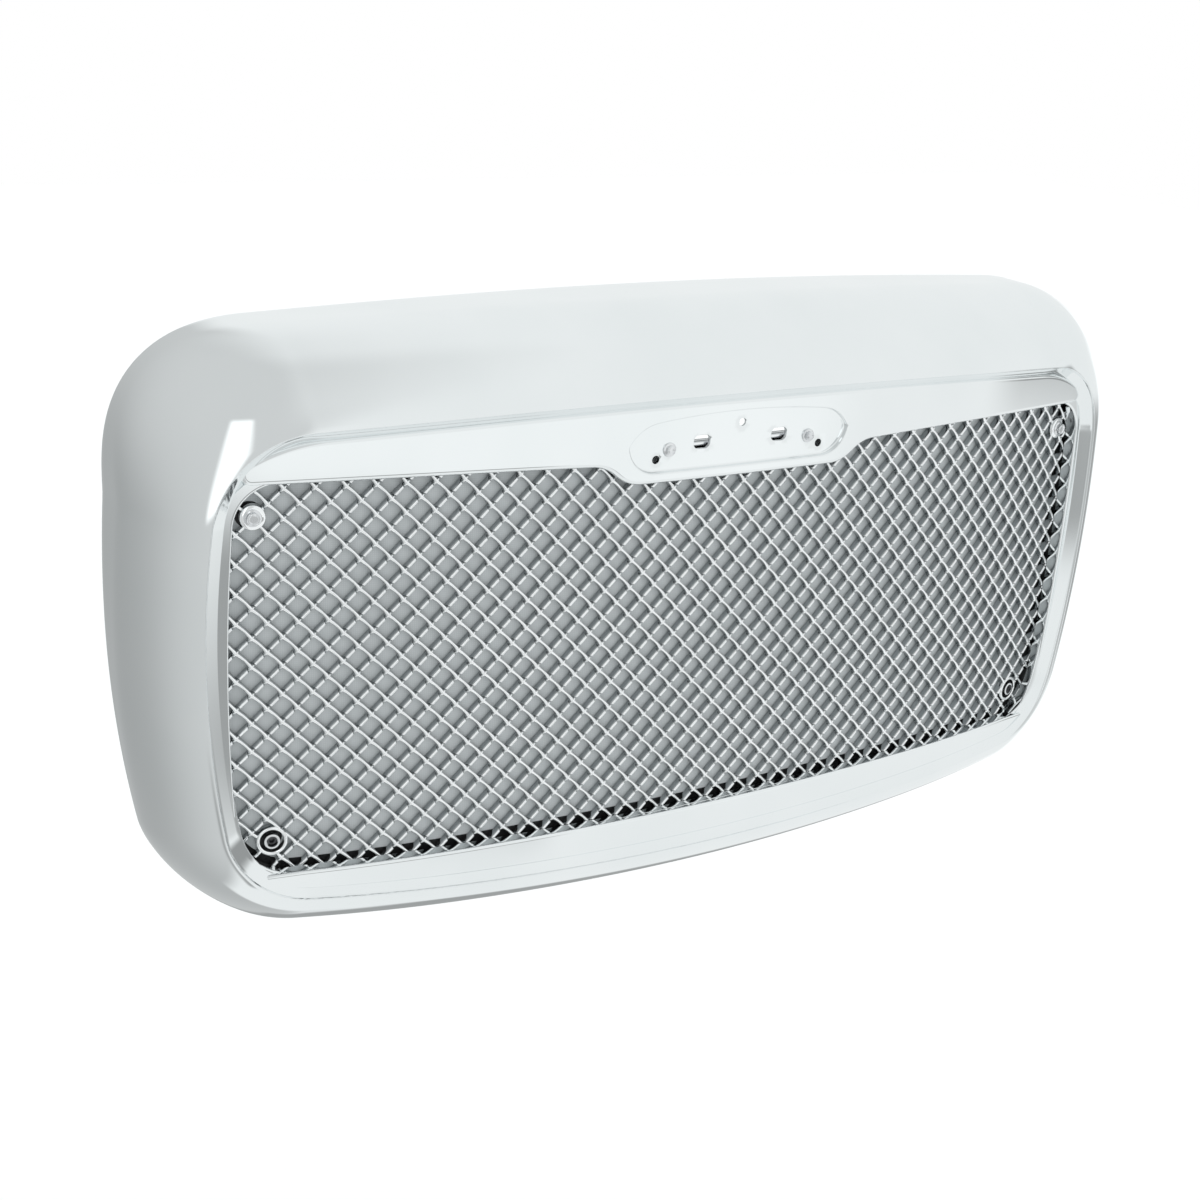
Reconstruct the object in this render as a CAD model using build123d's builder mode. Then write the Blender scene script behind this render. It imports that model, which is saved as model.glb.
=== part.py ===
from build123d import *
from math import asin, cos, degrees, radians, sin, sqrt
import os

os.makedirs("parts", exist_ok=True)

# Chrome truck grille: a bowed moulded surround with a brow and a sill, a diamond mesh insert
# behind its opening, a bug screen behind the mesh, and steel straps that clamp the insert and
# carry the studs that hold the grille on the hood.
#
# Frame: +X to the right seen from the front, -Y to the front, +Z up. The origin is the centre of
# the four mounting studs, on the rear faces of the two outer straps.
# "Ahead" is the distance in front of the mesh face, and a negative value lies behind it.

# --- driving dimensions, mm ---------------------------------------------------------------
MESH_FACE_Y = -48.0      # front of the mesh wires at the middle of the grille
WALL = 3.0               # wall of the chrome moulding
REACH = 420.0            # longer than any cut has to be

# plan view: a middle arc and a tighter arc at each end, swept to the rear; the mesh bends
# back further at its ends than the chrome in front of it
MID_RADIUS = 3945.0
MID_HALF_WIDTH = 314.0
MID_ANGLE = asin(MID_HALF_WIDTH / MID_RADIUS)
MID_SAG = MID_RADIUS * (1 - cos(MID_ANGLE))
MESH_END_RADIUS = 1417.0
CHROME_END_RADIUS = 2040.0
END_REACH = 400.0

# front view, right half: the crease where the outer roll meets the inner bezel
CREASE_TOP = (0.0, 284.0)
CREASE_TOP_CORNER = (580.0, 265.0)
CREASE_SIDE = (600.5, 58.0)
CREASE_BOTTOM_CORNER = (566.0, -233.0)
CREASE_BOTTOM = (0.0, -260.0)
CREASE_TOP_RADIUS = 108.0
CREASE_BOTTOM_RADIUS = 100.0
CREASE_AHEAD = 24.0
STATIONS = 60            # cross-sections along half of the crease

# outer roll: how far it spreads beyond the crease before it runs straight back
ROLL_SIDE = 62.5
ROLL_TOP = 83.0
ROLL_BOTTOM = 50.5
ROLL_TOP_CORNER = 16.0
ROLL_BOTTOM_CORNER = -7.5
ROLL_START = radians(23.5)
ROLL_STEPS = 9

# rear rim of the roll: a leaning, slightly bowed edge
RIM_BEHIND = 130.0
RIM_LEVEL = 20.0
RIM_LEAN = 0.12
RIM_BOW = 0.33

# inner bezel, which slopes from under the crease down to a flat flange round the opening
BEZEL_WIDTHS = (20.5, 14.0, 14.0)     # at the sides, the top and the bottom
BEZEL_ENDS_AHEAD = (11.0, 6.0, 12.0)
FLANGE_AHEAD = 10.0
FLANGE_WIDTH = 12.0
LIP_CLEARANCE = 0.3

# mesh opening, right half
OPENING_TOP = 217.0
OPENING_BOTTOM = -213.0
OPENING_TOP_CORNER_X = 566.0
OPENING_SIDE = (573.5, 0.0)
OPENING_BOTTOM_CORNER_X = 561.0
OPENING_TOP_RADIUS = 46.0
OPENING_BOTTOM_RADIUS = 66.0

# brow over the mesh: a panel that hangs lower in the middle
BROW_AHEAD = 12.0
BROW_SKIN = 4.0
BROW_TOP = 274.0
BROW_TOP_TURN = (480.0, 259.5)
BROW_TIP = (586.0, 215.0)
BROW_TIP_RADIUS = 11.0
BROW_EDGE_HIGH = (400.0, 216.0)
BROW_EDGE = 211.0
BROW_SHOULDER = 192.0
BROW_DROP_EDGE = 187.0
BROW_DROP = 128.0

# sill under the mesh
SILL_AHEAD = 15.0
SILL_SKIN = 4.0
SILL_TOP = -213.5
SILL_TOP_END = (500.0, -209.5)
SILL_BOTTOM = -250.0
SILL_BOTTOM_TURN = (480.0, -233.0)
SILL_TIP = (577.0, -211.0)
SILL_TIP_RADIUS = 7.0

# badge recess in the brow, with its holes
RECESS_FLOOR_AHEAD = 6.5
RECESS_WALL = 2.5
RECESS_HALF = 147.0
RECESS_BOTTOM = 199.0
RECESS_TOP = 261.0
RECESS_SHOULDER = (112.0, 254.0)
RECESS_SIDE_LEVEL = 230.0
PIN_HOLE_RADIUS = 4.4
PIN_HOLE_TOP = 246.0
PIN_HOLE_SIDE = (110.0, 212.5)
SLOT_CENTRE = (52.0, 228.0)
SLOT_SIZE = (21.0, 15.0)
SLOT_CORNER = 6.0

# badge bolts, the plate behind the recess and their nuts
BADGE_BOLT = (93.5, 222.5)
BADGE_BOLT_RADIUS = 3.0
BADGE_FLATS = 10.0
BADGE_HEX_HEIGHT = 5.0
BADGE_FLANGE_RADIUS = 8.0
BADGE_BOLT_LENGTH = 11.0
BADGE_PLATE_HALF = 128.0
BADGE_PLATE_BOTTOM = 205.0
BADGE_PLATE_TOP = 250.0
BADGE_PLATE_ROUND = 15.0
BADGE_SLOT_SIZE = (22.0, 16.0)        # in the plate, a little larger than in the recess
BADGE_PLATE_THICK = 2.0
BADGE_NUT_HEIGHT = 5.0

# diamond mesh insert
HALF_DIAGONAL = 15.7     # half a cell, corner to corner
BAR_WIDTH = 3.0
MESH_DEPTH = 9.5
MESH_LAP = 9.0
MESH_BORDER = 5.0
BROW_LAP = 8.0           # how far the mesh reaches up behind the brow's lower edge
ROW_LEVEL = 3.0          # height of the bar crossings at the middle of the grille
MESH_COLUMNS = 38
MESH_ROWS = 15
SMALLEST_CELL = 12.0
CELL_CUT = 40.0
CLEAR_FIELD = (480.0, 150.0)          # every cell is whole this near the middle
CELL_CORNERS = ((1, 0), (-1, 0), (0, 1), (0, -1), (0.5, 0.5), (-0.5, 0.5), (0.5, -0.5), (-0.5, -0.5))

# bug screen and its frame, behind the mesh
SCREEN_AHEAD = 10.2      # these two lie behind the mesh face
SCREEN_THICK = 0.8
SCREEN_INSET = 6.0
SCREEN_HOLE = 14.0
FRAME_AHEAD = 11.0
FRAME_THICK = 3.0
FRAME_LAP = 8.0
FRAME_INSET = 26.0
EAR_RADIUS = 14.0
RIVET_SPACING = 95.0
RIVET_REACH = 480.0
RIVET_LEVELS = (197.0, -193.0)
RIVET_RADIUS = 1.6
RIVET_HEAD_RADIUS = 3.2
RIVET_FRONT_HEAD = 0.5
RIVET_REAR_HEAD = 1.4

# corners of the mesh: pads under the upper bolts, clearance rings round the lower sleeves
PAD_RADIUS = 13.0
PAD_AHEAD = 2.0
LOWER_RING_RADIUS = 16.5
LOWER_RING_HOLE = 13.0
CORNER_TOP = (545.0, 179.0)
CORNER_BOTTOM = (525.0, -180.0)
BOLT_RADIUS = 4.0
HEX_ACROSS_FLATS = 13.0
HEX_HEIGHT = 6.0
BOLT_FLANGE_RADIUS = 9.0
FLANGE_RIM = 1.4
CROWN_SHARE = 0.42       # radius of a bolt's crown, as a share of its width across flats
CROWN_HEIGHT = 0.4
UPPER_BOLT_LENGTH = 27.0
SLEEVE_RADIUS = 8.5
SLEEVE_BORE = 6.2
SLEEVE_HEIGHT = 12.0
SLEEVE_FLOOR = 2.5
SLEEVE_ROUND = 0.8
CAP_RADIUS = 5.4
CAP_HEIGHT = 5.5
SOCKET_FLATS = 6.0
SOCKET_DEPTH = 3.0
LOWER_SCREW_LENGTH = 16.0
CORNER_WASHER_RADIUS = 8.0
NUT_HEIGHT = 6.5
NUT_ROUND = 0.53         # radius of a nut's round seat, as a share of its width across flats
NUT_TAPER = 20.0

# general fits
HOLE_CLEARANCE = 0.3
RUNNING_GAP = 0.1
SEAT_GAP = 0.04          # a flat seat clears the hollow of a bowed face by this much
BORE_REACH = 20.0
CUT_PAST = 1.0           # how far a cut runs beyond the face it opens
TRAY_BACK_AHEAD = LIP_CLEARANCE + 0.6   # the trays end a little short of the lip
THREAD_CHAMFER = 0.6
WASHER_THICK = 1.2

# straps, their bosses on the brow and the sill, their screws and the mounting studs
STRAP_OUTER = 430.0
STRAP_INNER = 150.0
OUTER_STRAP_FRONT = -3.0
INNER_STRAP_FRONT = -29.2
STRAP_WIDTH = 32.0
STRAP_THICK = 3.0
STRAP_TOP = 254.0
STRAP_BOTTOM = -246.0
STRAP_CORNER = 8.0
LIGHTENING_RADIUS = 6.0
STRAP_PAD_LEVELS = (208.0, -204.0)
STRAP_PAD_HEIGHT = 24.0
STRAP_PAD_REACH = 20.0
BOSS_LEVELS = (240.0, -232.0)
BOSS_RADII = (7.0, 6.0)
BOSS_ROOTS_AHEAD = (10.0, 13.0)       # within the skins of the brow and the sill
SCREW_RADIUS = 2.5
SCREW_BITE = 12.0
SCREW_LENGTH = 14.0
PAN_RADIUS = 4.8
PAN_HEIGHT = 3.4
PAN_ROUND = 1.2
CROSS_WIDTH = 1.2
STRAP_WASHER_RADIUS = 6.0
STUD_LEVEL = 150.0
STUD_RADIUS = 4.0
STUD_LENGTH = 28.0
STUD_PRESS_RADIUS = 4.7  # the ribbed length that is pressed into the strap
STUD_HEAD_RADIUS = 9.0
STUD_HEAD = 2.2

# foam seal inside the rear rim
SEAL_WIDTH = 14.0
SEAL_THICK = 5.0


# --- geometry shared by the pieces --------------------------------------------------------
def end_centre(end_radius):
    """Centre of the right end arc of a bow, in plan, from the middle of the bow."""
    x = MID_HALF_WIDTH - end_radius * sin(MID_ANGLE)
    return x, MID_SAG + end_radius * cos(MID_ANGLE)


def bow(x, end_radius):
    """How far a bowed face lies behind its middle, at a distance x from the middle."""
    if abs(x) <= MID_HALF_WIDTH:
        return MID_RADIUS - sqrt(MID_RADIUS**2 - x**2)
    centre_x, centre_y = end_centre(end_radius)
    return centre_y - sqrt(end_radius**2 - (abs(x) - centre_x) ** 2)


def across(distance):
    """The x of a point this far along the bowed mesh face from its middle."""
    mid_length = MID_RADIUS * MID_ANGLE
    if abs(distance) <= mid_length:
        return MID_RADIUS * sin(distance / MID_RADIUS)
    angle = MID_ANGLE + (abs(distance) - mid_length) / MESH_END_RADIUS
    x = end_centre(MESH_END_RADIUS)[0] + MESH_END_RADIUS * sin(angle)
    return x if distance > 0 else -x


def facing(x, z, ahead):
    """A plane that looks squarely out of the mesh face at a point, moved ahead of it."""
    if abs(x) <= MID_HALF_WIDTH:
        tilt = asin(abs(x) / MID_RADIUS)
    else:
        tilt = asin((abs(x) - end_centre(MESH_END_RADIUS)[0]) / MESH_END_RADIUS)
    tilt = tilt if x > 0 else -tilt
    y = MESH_FACE_Y + bow(x, MESH_END_RADIUS)
    front = (sin(tilt), -cos(tilt), 0)
    origin = (x + ahead * front[0], y + ahead * front[1], z)
    return Plane(origin, x_dir=(cos(tilt), sin(tilt), 0), z_dir=front)


def bow_line(ahead, end_radius):
    """The plan-view line of a bow, this far ahead of its face."""
    turn = degrees(MID_ANGLE)
    centre_x, centre_y = end_centre(end_radius)
    radius = end_radius + ahead
    sweep = degrees(END_REACH / radius)
    CenterArc((0, MESH_FACE_Y + MID_RADIUS), MID_RADIUS + ahead, -90 - turn, 2 * turn)
    right = CenterArc((centre_x, MESH_FACE_Y + centre_y), radius, -90 + turn, sweep)
    left = CenterArc((-centre_x, MESH_FACE_Y + centre_y), radius, -90 - turn, -sweep)
    return left @ 1, right @ 1


def bowed(outline, front, back, front_end=CHROME_END_RADIUS, back_end=CHROME_END_RADIUS):
    """A front-view outline made solid between two depths that follow the bow."""
    with BuildPart() as solid:
        with BuildSketch(Plane.XY.offset(-REACH)):
            with BuildLine():
                front_left, front_right = bow_line(front, front_end)
                back_left, back_right = bow_line(back, back_end)
                Line(front_left, back_left)
                Line(front_right, back_right)
            make_face()
        extrude(amount=2 * REACH)
        extrude(outline, amount=REACH, both=True, mode=Mode.INTERSECT)
    return solid.part


def mesh_bowed(outline, front, back):
    """The same between two depths that follow the deeper bow of the mesh."""
    return bowed(outline, front, back, MESH_END_RADIUS, MESH_END_RADIUS)


def crease_stations():
    """Points and outward normals along the right half of the crease, in the front view."""
    with BuildLine() as crease:
        TangentArc(CREASE_TOP, CREASE_TOP_CORNER, tangent=(1, 0))
        ThreePointArc(CREASE_TOP_CORNER, CREASE_SIDE, CREASE_BOTTOM_CORNER)
        TangentArc(CREASE_BOTTOM, CREASE_BOTTOM_CORNER, tangent=(1, 0))
        fillet(crease.vertices().sort_by(Axis.X)[-1], CREASE_TOP_RADIUS)
        fillet(crease.vertices().sort_by_distance(CREASE_BOTTOM_CORNER)[0], CREASE_BOTTOM_RADIUS)
    line = Wire(crease.edges())
    stations = []
    for step in range(STATIONS + 1):
        point = line @ (step / STATIONS)
        along = line % (step / STATIONS)
        stations.append((point.X, point.Y, -along.Y, along.X))
    top_ghost, bottom_ghost = stations[1], stations[-2]
    x, z, normal_x, normal_z = top_ghost
    stations.insert(0, (-x, z, -normal_x, normal_z))
    x, z, normal_x, normal_z = bottom_ghost
    stations.append((-x, z, -normal_x, normal_z))
    return stations


def roll_spread(normal_x, normal_z):
    """How far the outer roll spreads beyond the crease, by the way the crease faces there."""
    upper = normal_z > 0
    level = ROLL_TOP if upper else ROLL_BOTTOM
    corner = ROLL_TOP_CORNER if upper else ROLL_BOTTOM_CORNER
    return ROLL_SIDE * normal_x**2 + level * normal_z**2 + corner * (2 * normal_x * normal_z) ** 2


def rim_depth(x, z, spread, normal_z):
    """The y of the rear rim at a station of the crease."""
    height = z + normal_z * spread - RIM_LEVEL
    return MESH_FACE_Y + RIM_BEHIND + RIM_LEAN * height + RIM_BOW * bow(x, MESH_END_RADIUS)


def by_side(values, normal_x, normal_z):
    """Blends a value for the sides with one for the top or the bottom."""
    side, top, bottom = values
    return side * normal_x**2 + (top if normal_z > 0 else bottom) * normal_z**2


def surround_section(x, z, normal_x, normal_z):
    """Section of the surround: the wall, the roll, the step at the crease and the bezel."""
    spread = roll_spread(normal_x, normal_z)
    radius = spread / (1 - sin(ROLL_START))
    face_y = MESH_FACE_Y + bow(x, CHROME_END_RADIUS)
    centre = (spread - radius, face_y - CREASE_AHEAD + radius * cos(ROLL_START))
    rim_y = rim_depth(x, z, spread, normal_z)
    start = degrees(ROLL_START) - 90
    inner_start = start + degrees(WALL / radius)
    outer = CenterArc(centre, radius, start, -start)
    outer_wall = Line(outer @ 1, (spread, rim_y))
    inner = CenterArc(centre, radius - WALL, inner_start, -inner_start)
    inner_wall = Line(inner @ 1, (spread - WALL, rim_y))
    Line(outer_wall @ 1, inner_wall @ 1)
    step_foot = (-WALL * sin(ROLL_START), face_y - CREASE_AHEAD + WALL * cos(ROLL_START))
    bezel_width = by_side(BEZEL_WIDTHS, normal_x, normal_z)
    bezel_y = face_y - by_side(BEZEL_ENDS_AHEAD, normal_x, normal_z)
    bezel_front = (-bezel_width, bezel_y)
    bezel_back = (-bezel_width, bezel_y + WALL)
    Polyline(outer @ 0, step_foot, bezel_front, bezel_back, inner @ 0)


def seal_section(x, z, normal_x, normal_z):
    """Section of the foam seal, flat against the inside of the wall next to the rim."""
    spread = roll_spread(normal_x, normal_z)
    rim_y = rim_depth(x, z, spread, normal_z)
    face = spread - WALL
    back = face - SEAL_THICK
    front_y = rim_y - SEAL_WIDTH
    Polyline((face, front_y), (face, rim_y), (back, rim_y), (back, front_y), close=True)


def ring(draw_section):
    """A ring all round the grille, lofted through a section at each station of the crease."""
    with BuildPart() as half_ring:
        for x, z, normal_x, normal_z in crease_stations():
            outward = (normal_x, 0, normal_z)
            across_crease = Plane((x, 0, z), x_dir=outward, z_dir=(-normal_z, 0, normal_x))
            with BuildSketch(across_crease):
                with BuildLine():
                    draw_section(x, z, normal_x, normal_z)
                make_face()
        loft()
        split(bisect_by=Plane.YZ, keep=Keep.TOP)
        mirror(about=Plane.YZ)
    return half_ring.part


def mirrored_outline(draw_half):
    """A front-view outline drawn as its right half, from the middle round to the middle."""
    with BuildSketch(Plane.XZ) as outline:
        with BuildLine():
            draw_half()
            mirror(about=Plane.YZ)
        make_face()
    return outline.sketch


def s_curve(low, high):
    """A smooth step between two level runs, made of two tangent arcs."""
    middle = ((low[0] + high[0]) / 2, (low[1] + high[1]) / 2)
    TangentArc(low, middle, tangent=(1, 0))
    TangentArc(high, middle, tangent=(-1, 0))


def opening_half():
    """Right half of the mesh opening's outline."""
    top_corner = (OPENING_TOP_CORNER_X, OPENING_TOP)
    bottom_corner = (OPENING_BOTTOM_CORNER_X, OPENING_BOTTOM)
    with BuildLine(mode=Mode.PRIVATE) as half:
        Line((0, OPENING_TOP), top_corner)
        ThreePointArc(top_corner, OPENING_SIDE, bottom_corner)
        Line(bottom_corner, (0, OPENING_BOTTOM))
        fillet(half.vertices().sort_by_distance(top_corner)[0], OPENING_TOP_RADIUS)
        fillet(half.vertices().sort_by_distance(bottom_corner)[0], OPENING_BOTTOM_RADIUS)
    add(half.line)


def brow_half():
    """Right half of the brow's outline: a curved top, a round tip and a dropped middle."""
    with BuildLine(mode=Mode.PRIVATE) as half:
        crown = TangentArc((0, BROW_TOP), BROW_TOP_TURN, tangent=(1, 0))
        TangentArc(BROW_TOP_TURN, BROW_TIP, tangent=crown % 1)
        ThreePointArc(BROW_TIP, BROW_EDGE_HIGH, (BROW_SHOULDER, BROW_EDGE))
        s_curve((BROW_DROP, BROW_DROP_EDGE), (BROW_SHOULDER, BROW_EDGE))
        Line((BROW_DROP, BROW_DROP_EDGE), (0, BROW_DROP_EDGE))
        fillet(half.vertices().sort_by_distance(BROW_TIP)[0], BROW_TIP_RADIUS)
    add(half.line)


def sill_half():
    """Right half of the sill's outline: a narrow crescent with round tips."""
    with BuildLine(mode=Mode.PRIVATE) as half:
        crown = TangentArc((0, SILL_BOTTOM), SILL_BOTTOM_TURN, tangent=(1, 0))
        TangentArc(SILL_BOTTOM_TURN, SILL_TIP, tangent=crown % 1)
        TangentArc((0, SILL_TOP), SILL_TOP_END, tangent=(1, 0))
        Line(SILL_TOP_END, SILL_TIP)
        fillet(half.vertices().sort_by_distance(SILL_TIP)[0], SILL_TIP_RADIUS)
    add(half.line)


def recess_half():
    """Right half of the badge recess: a flat foot, a round end and a crowned top."""
    shoulder_x, shoulder_z = RECESS_SHOULDER
    foot = (shoulder_x, RECESS_BOTTOM)
    crown = TangentArc((0, RECESS_TOP), RECESS_SHOULDER, tangent=(1, 0))
    TangentArc(RECESS_SHOULDER, (RECESS_HALF, RECESS_SIDE_LEVEL), tangent=crown % 1)
    TangentArc(foot, (RECESS_HALF, RECESS_SIDE_LEVEL), tangent=(1, 0))
    Line(foot, (0, RECESS_BOTTOM))


def inset(outline, distance):
    """A front-view outline drawn smaller by a distance, or larger by a negative one."""
    with BuildSketch(Plane.XZ) as smaller:
        add(outline)
        offset(amount=-distance, mode=Mode.REPLACE)
    return smaller.sketch


def plate_between(outer, inner):
    """A front-view outline with another one cut out of it."""
    with BuildSketch(Plane.XZ) as frame:
        add(outer)
        add(inner, mode=Mode.SUBTRACT)
    return frame.sketch


def discs(radius, *points):
    """Front-view discs at points and at their mirror images."""
    with BuildSketch(Plane.XZ) as circles:
        with Locations(*[spot for point in points for spot in mirrored_points(point)]):
            Circle(radius)
    return circles.sketch


def with_discs(outline, circles):
    """A front-view outline joined with a set of discs."""
    with BuildSketch(Plane.XZ) as joined:
        add([outline, circles])
    return joined.sketch


def bored(piece, planes, radius):
    """A piece with a round hole through it along each plane's axis."""
    with BuildPart() as drilled:
        add(piece)
        for plane in planes:
            with BuildSketch(plane):
                Circle(radius)
            extrude(amount=BORE_REACH, both=True, mode=Mode.SUBTRACT)
    return drilled.part


def both_sides(x, z, ahead):
    """The planes that look out of the mesh face at mirrored points."""
    return [facing(x, z, ahead), facing(-x, z, ahead)]


def placed(piece, planes):
    """Copies of one piece, one on each plane."""
    with BuildPart() as copies:
        with Locations(*[plane.location for plane in planes]):
            add(piece)
    return copies.part


def upright(x, y, z):
    """A plane at a point that looks to the rear."""
    return Plane((x, y, z), x_dir=(-1, 0, 0), z_dir=(0, 1, 0))


# --- chrome surround ----------------------------------------------------------------------
def brow_tray(brow, recess):
    """The brow as a hollow tray, with the badge recess and its holes."""
    with BuildPart() as tray:
        add(bowed(brow, BROW_AHEAD, TRAY_BACK_AHEAD))
        add(bowed(inset(brow, BROW_SKIN), BROW_AHEAD - BROW_SKIN, -CUT_PAST), mode=Mode.SUBTRACT)
        floor_back = RECESS_FLOOR_AHEAD - RECESS_WALL
        add(bowed(inset(recess, -RECESS_WALL), BROW_AHEAD, floor_back))
        add(bowed(recess, BROW_AHEAD + CUT_PAST, RECESS_FLOOR_AHEAD), mode=Mode.SUBTRACT)
        with BuildSketch(Plane.XZ.offset(-MESH_FACE_Y)):
            with Locations((0, PIN_HOLE_TOP)):
                Circle(PIN_HOLE_RADIUS)
            with Locations(*mirrored_points(PIN_HOLE_SIDE)):
                Circle(PIN_HOLE_RADIUS)
            with Locations(*mirrored_points(SLOT_CENTRE)):
                RectangleRounded(*SLOT_SIZE, SLOT_CORNER)
            with Locations(*mirrored_points(BADGE_BOLT)):
                Circle(BADGE_BOLT_RADIUS + HOLE_CLEARANCE)
        extrude(amount=2 * BROW_AHEAD, both=True, mode=Mode.SUBTRACT)
    return tray.part


def mirrored_points(point):
    """A point and its mirror image about the middle."""
    return (point[0], point[1]), (-point[0], point[1])


def grid_points(x, levels):
    """Points at x and at -x, on each of the levels."""
    return [(side * x, level) for side in (1, -1) for level in levels]


def sill_tray(sill):
    """The sill as a hollow tray."""
    with BuildPart() as tray:
        add(bowed(sill, SILL_AHEAD, TRAY_BACK_AHEAD))
        add(bowed(inset(sill, SILL_SKIN), SILL_AHEAD - SILL_SKIN, -CUT_PAST), mode=Mode.SUBTRACT)
    return tray.part


def screw_bosses():
    """Round bosses on the backs of the brow and the sill that end at the straps."""
    with BuildPart() as bosses:
        for x, strap_front in ((STRAP_OUTER, OUTER_STRAP_FRONT), (STRAP_INNER, INNER_STRAP_FRONT)):
            face_y = MESH_FACE_Y + bow(x, CHROME_END_RADIUS)
            for level, radius, ahead in zip(BOSS_LEVELS, BOSS_RADII, BOSS_ROOTS_AHEAD):
                root_y = face_y - ahead
                with BuildSketch(Plane.XZ.offset(-root_y)):
                    with Locations((x, level), (-x, level)):
                        Circle(radius)
                extrude(amount=root_y - strap_front)
    return bosses.part


def boss_pilots():
    """The blind pilot holes for the strap screws."""
    with BuildPart() as pilots:
        for x, strap_front in ((STRAP_OUTER, OUTER_STRAP_FRONT), (STRAP_INNER, INNER_STRAP_FRONT)):
            with BuildSketch(Plane.XZ.offset(-strap_front)):
                with Locations(*grid_points(x, BOSS_LEVELS)):
                    Circle(SCREW_RADIUS + RUNNING_GAP)
            extrude(amount=SCREW_LENGTH)
    return pilots.part


def make_surround_shell():
    opening = mirrored_outline(opening_half)
    recess = mirrored_outline(recess_half)
    badge_room = inset(recess, -RECESS_WALL / 2)
    flange_ring = plate_between(inset(opening, -FLANGE_WIDTH), opening)
    flange = bowed(plate_between(flange_ring, badge_room), FLANGE_AHEAD, FLANGE_AHEAD - WALL)
    lip_outline = plate_between(plate_between(inset(opening, -WALL), opening), badge_room)
    lip = bowed(lip_outline, FLANGE_AHEAD, LIP_CLEARANCE, CHROME_END_RADIUS, MESH_END_RADIUS)
    brow = brow_tray(mirrored_outline(brow_half), recess)
    sill = sill_tray(mirrored_outline(sill_half))
    with BuildPart() as shell:
        add([ring(surround_section), flange, lip, brow, sill, screw_bosses()])
        add(boss_pilots(), mode=Mode.SUBTRACT)
    return shell.part


# --- mesh insert --------------------------------------------------------------------------
def mesh_insert_body(solid_discs):
    """A bowed plate with a border and solid corners, cut through by rows of diamond cells."""
    behind_brow = inset(mirrored_outline(brow_half), BROW_LAP)
    outline = plate_between(inset(mirrored_outline(opening_half), -MESH_LAP), behind_brow)
    field = plate_between(inset(outline, MESH_BORDER), solid_discs)
    clear_side = HALF_DIAGONAL * sqrt(2) - BAR_WIDTH
    half_cell = clear_side / sqrt(2)
    field_face = field.faces()[0]
    whole_cells = []
    cut_cells = []
    for column in range(-MESH_COLUMNS, MESH_COLUMNS + 1):
        for row in range(-MESH_ROWS, MESH_ROWS + 1):
            if (column + row) % 2 == 0:
                continue
            x = across(column * HALF_DIAGONAL)
            z = ROW_LEVEL + row * HALF_DIAGONAL
            whole = abs(x) < CLEAR_FIELD[0] and abs(z) < CLEAR_FIELD[1]
            rim = [Vector(x + half_cell * right, 0, z + half_cell * up) for right, up in CELL_CORNERS]
            if whole or all(field_face.is_inside(point) for point in rim):
                whole_cells.append((x, MESH_FACE_Y + bow(x, MESH_END_RADIUS), z))
            else:
                cut_cells.append((x, z))
    with BuildSketch(Plane.XZ) as edge_cells:
        with Locations(*cut_cells):
            Rectangle(clear_side, clear_side, rotation=45)
        add(field, mode=Mode.INTERSECT)
    edge_openings = [face for face in edge_cells.faces() if face.area > SMALLEST_CELL]
    with BuildPart() as insert:
        add(mesh_bowed(outline, 0, -MESH_DEPTH))
        with Locations(*whole_cells):
            Box(clear_side, CELL_CUT, clear_side, rotation=(0, 45, 0), mode=Mode.SUBTRACT)
        extrude(edge_openings, amount=REACH, both=True, mode=Mode.SUBTRACT)
    return insert.part


def make_mesh_insert():
    pads = discs(PAD_RADIUS, CORNER_TOP)
    rings = discs(LOWER_RING_RADIUS, CORNER_BOTTOM)
    with BuildPart() as insert:
        add(mesh_insert_body(with_discs(pads, rings)))
        add(mesh_bowed(pads, PAD_AHEAD, -FRAME_AHEAD))
    bolt_holes = bored(insert.part, both_sides(*CORNER_TOP, 0), BOLT_RADIUS + HOLE_CLEARANCE)
    return bored(bolt_holes, both_sides(*CORNER_BOTTOM, 0), LOWER_RING_HOLE)


# --- bug screen and its frame -------------------------------------------------------------
def make_bug_screen():
    outline = inset(mirrored_outline(opening_half), SCREEN_INSET)
    clear = plate_between(outline, discs(SCREEN_HOLE, CORNER_TOP, CORNER_BOTTOM))
    screen = mesh_bowed(clear, -SCREEN_AHEAD, -SCREEN_AHEAD - SCREEN_THICK)
    return bored(screen, rivet_planes(), RIVET_RADIUS + RUNNING_GAP)


def make_screen_frame():
    opening = mirrored_outline(opening_half)
    rim = plate_between(inset(opening, -FRAME_LAP), inset(opening, FRAME_INSET))
    outline = with_discs(rim, discs(EAR_RADIUS, CORNER_TOP, CORNER_BOTTOM))
    frame = mesh_bowed(outline, -FRAME_AHEAD, -FRAME_AHEAD - FRAME_THICK)
    ears = both_sides(*CORNER_TOP, 0) + both_sides(*CORNER_BOTTOM, 0)
    corner_holes = bored(frame, ears, BOLT_RADIUS + HOLE_CLEARANCE)
    return bored(corner_holes, rivet_planes(), RIVET_RADIUS + RUNNING_GAP)


def rivet_planes():
    """Rivets along the top and the bottom run of the frame."""
    count = int(RIVET_REACH / RIVET_SPACING)
    planes = []
    for step in range(-count, count + 1):
        for level in RIVET_LEVELS:
            planes.append(facing(step * RIVET_SPACING, level, -SCREEN_AHEAD))
    return planes


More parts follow.
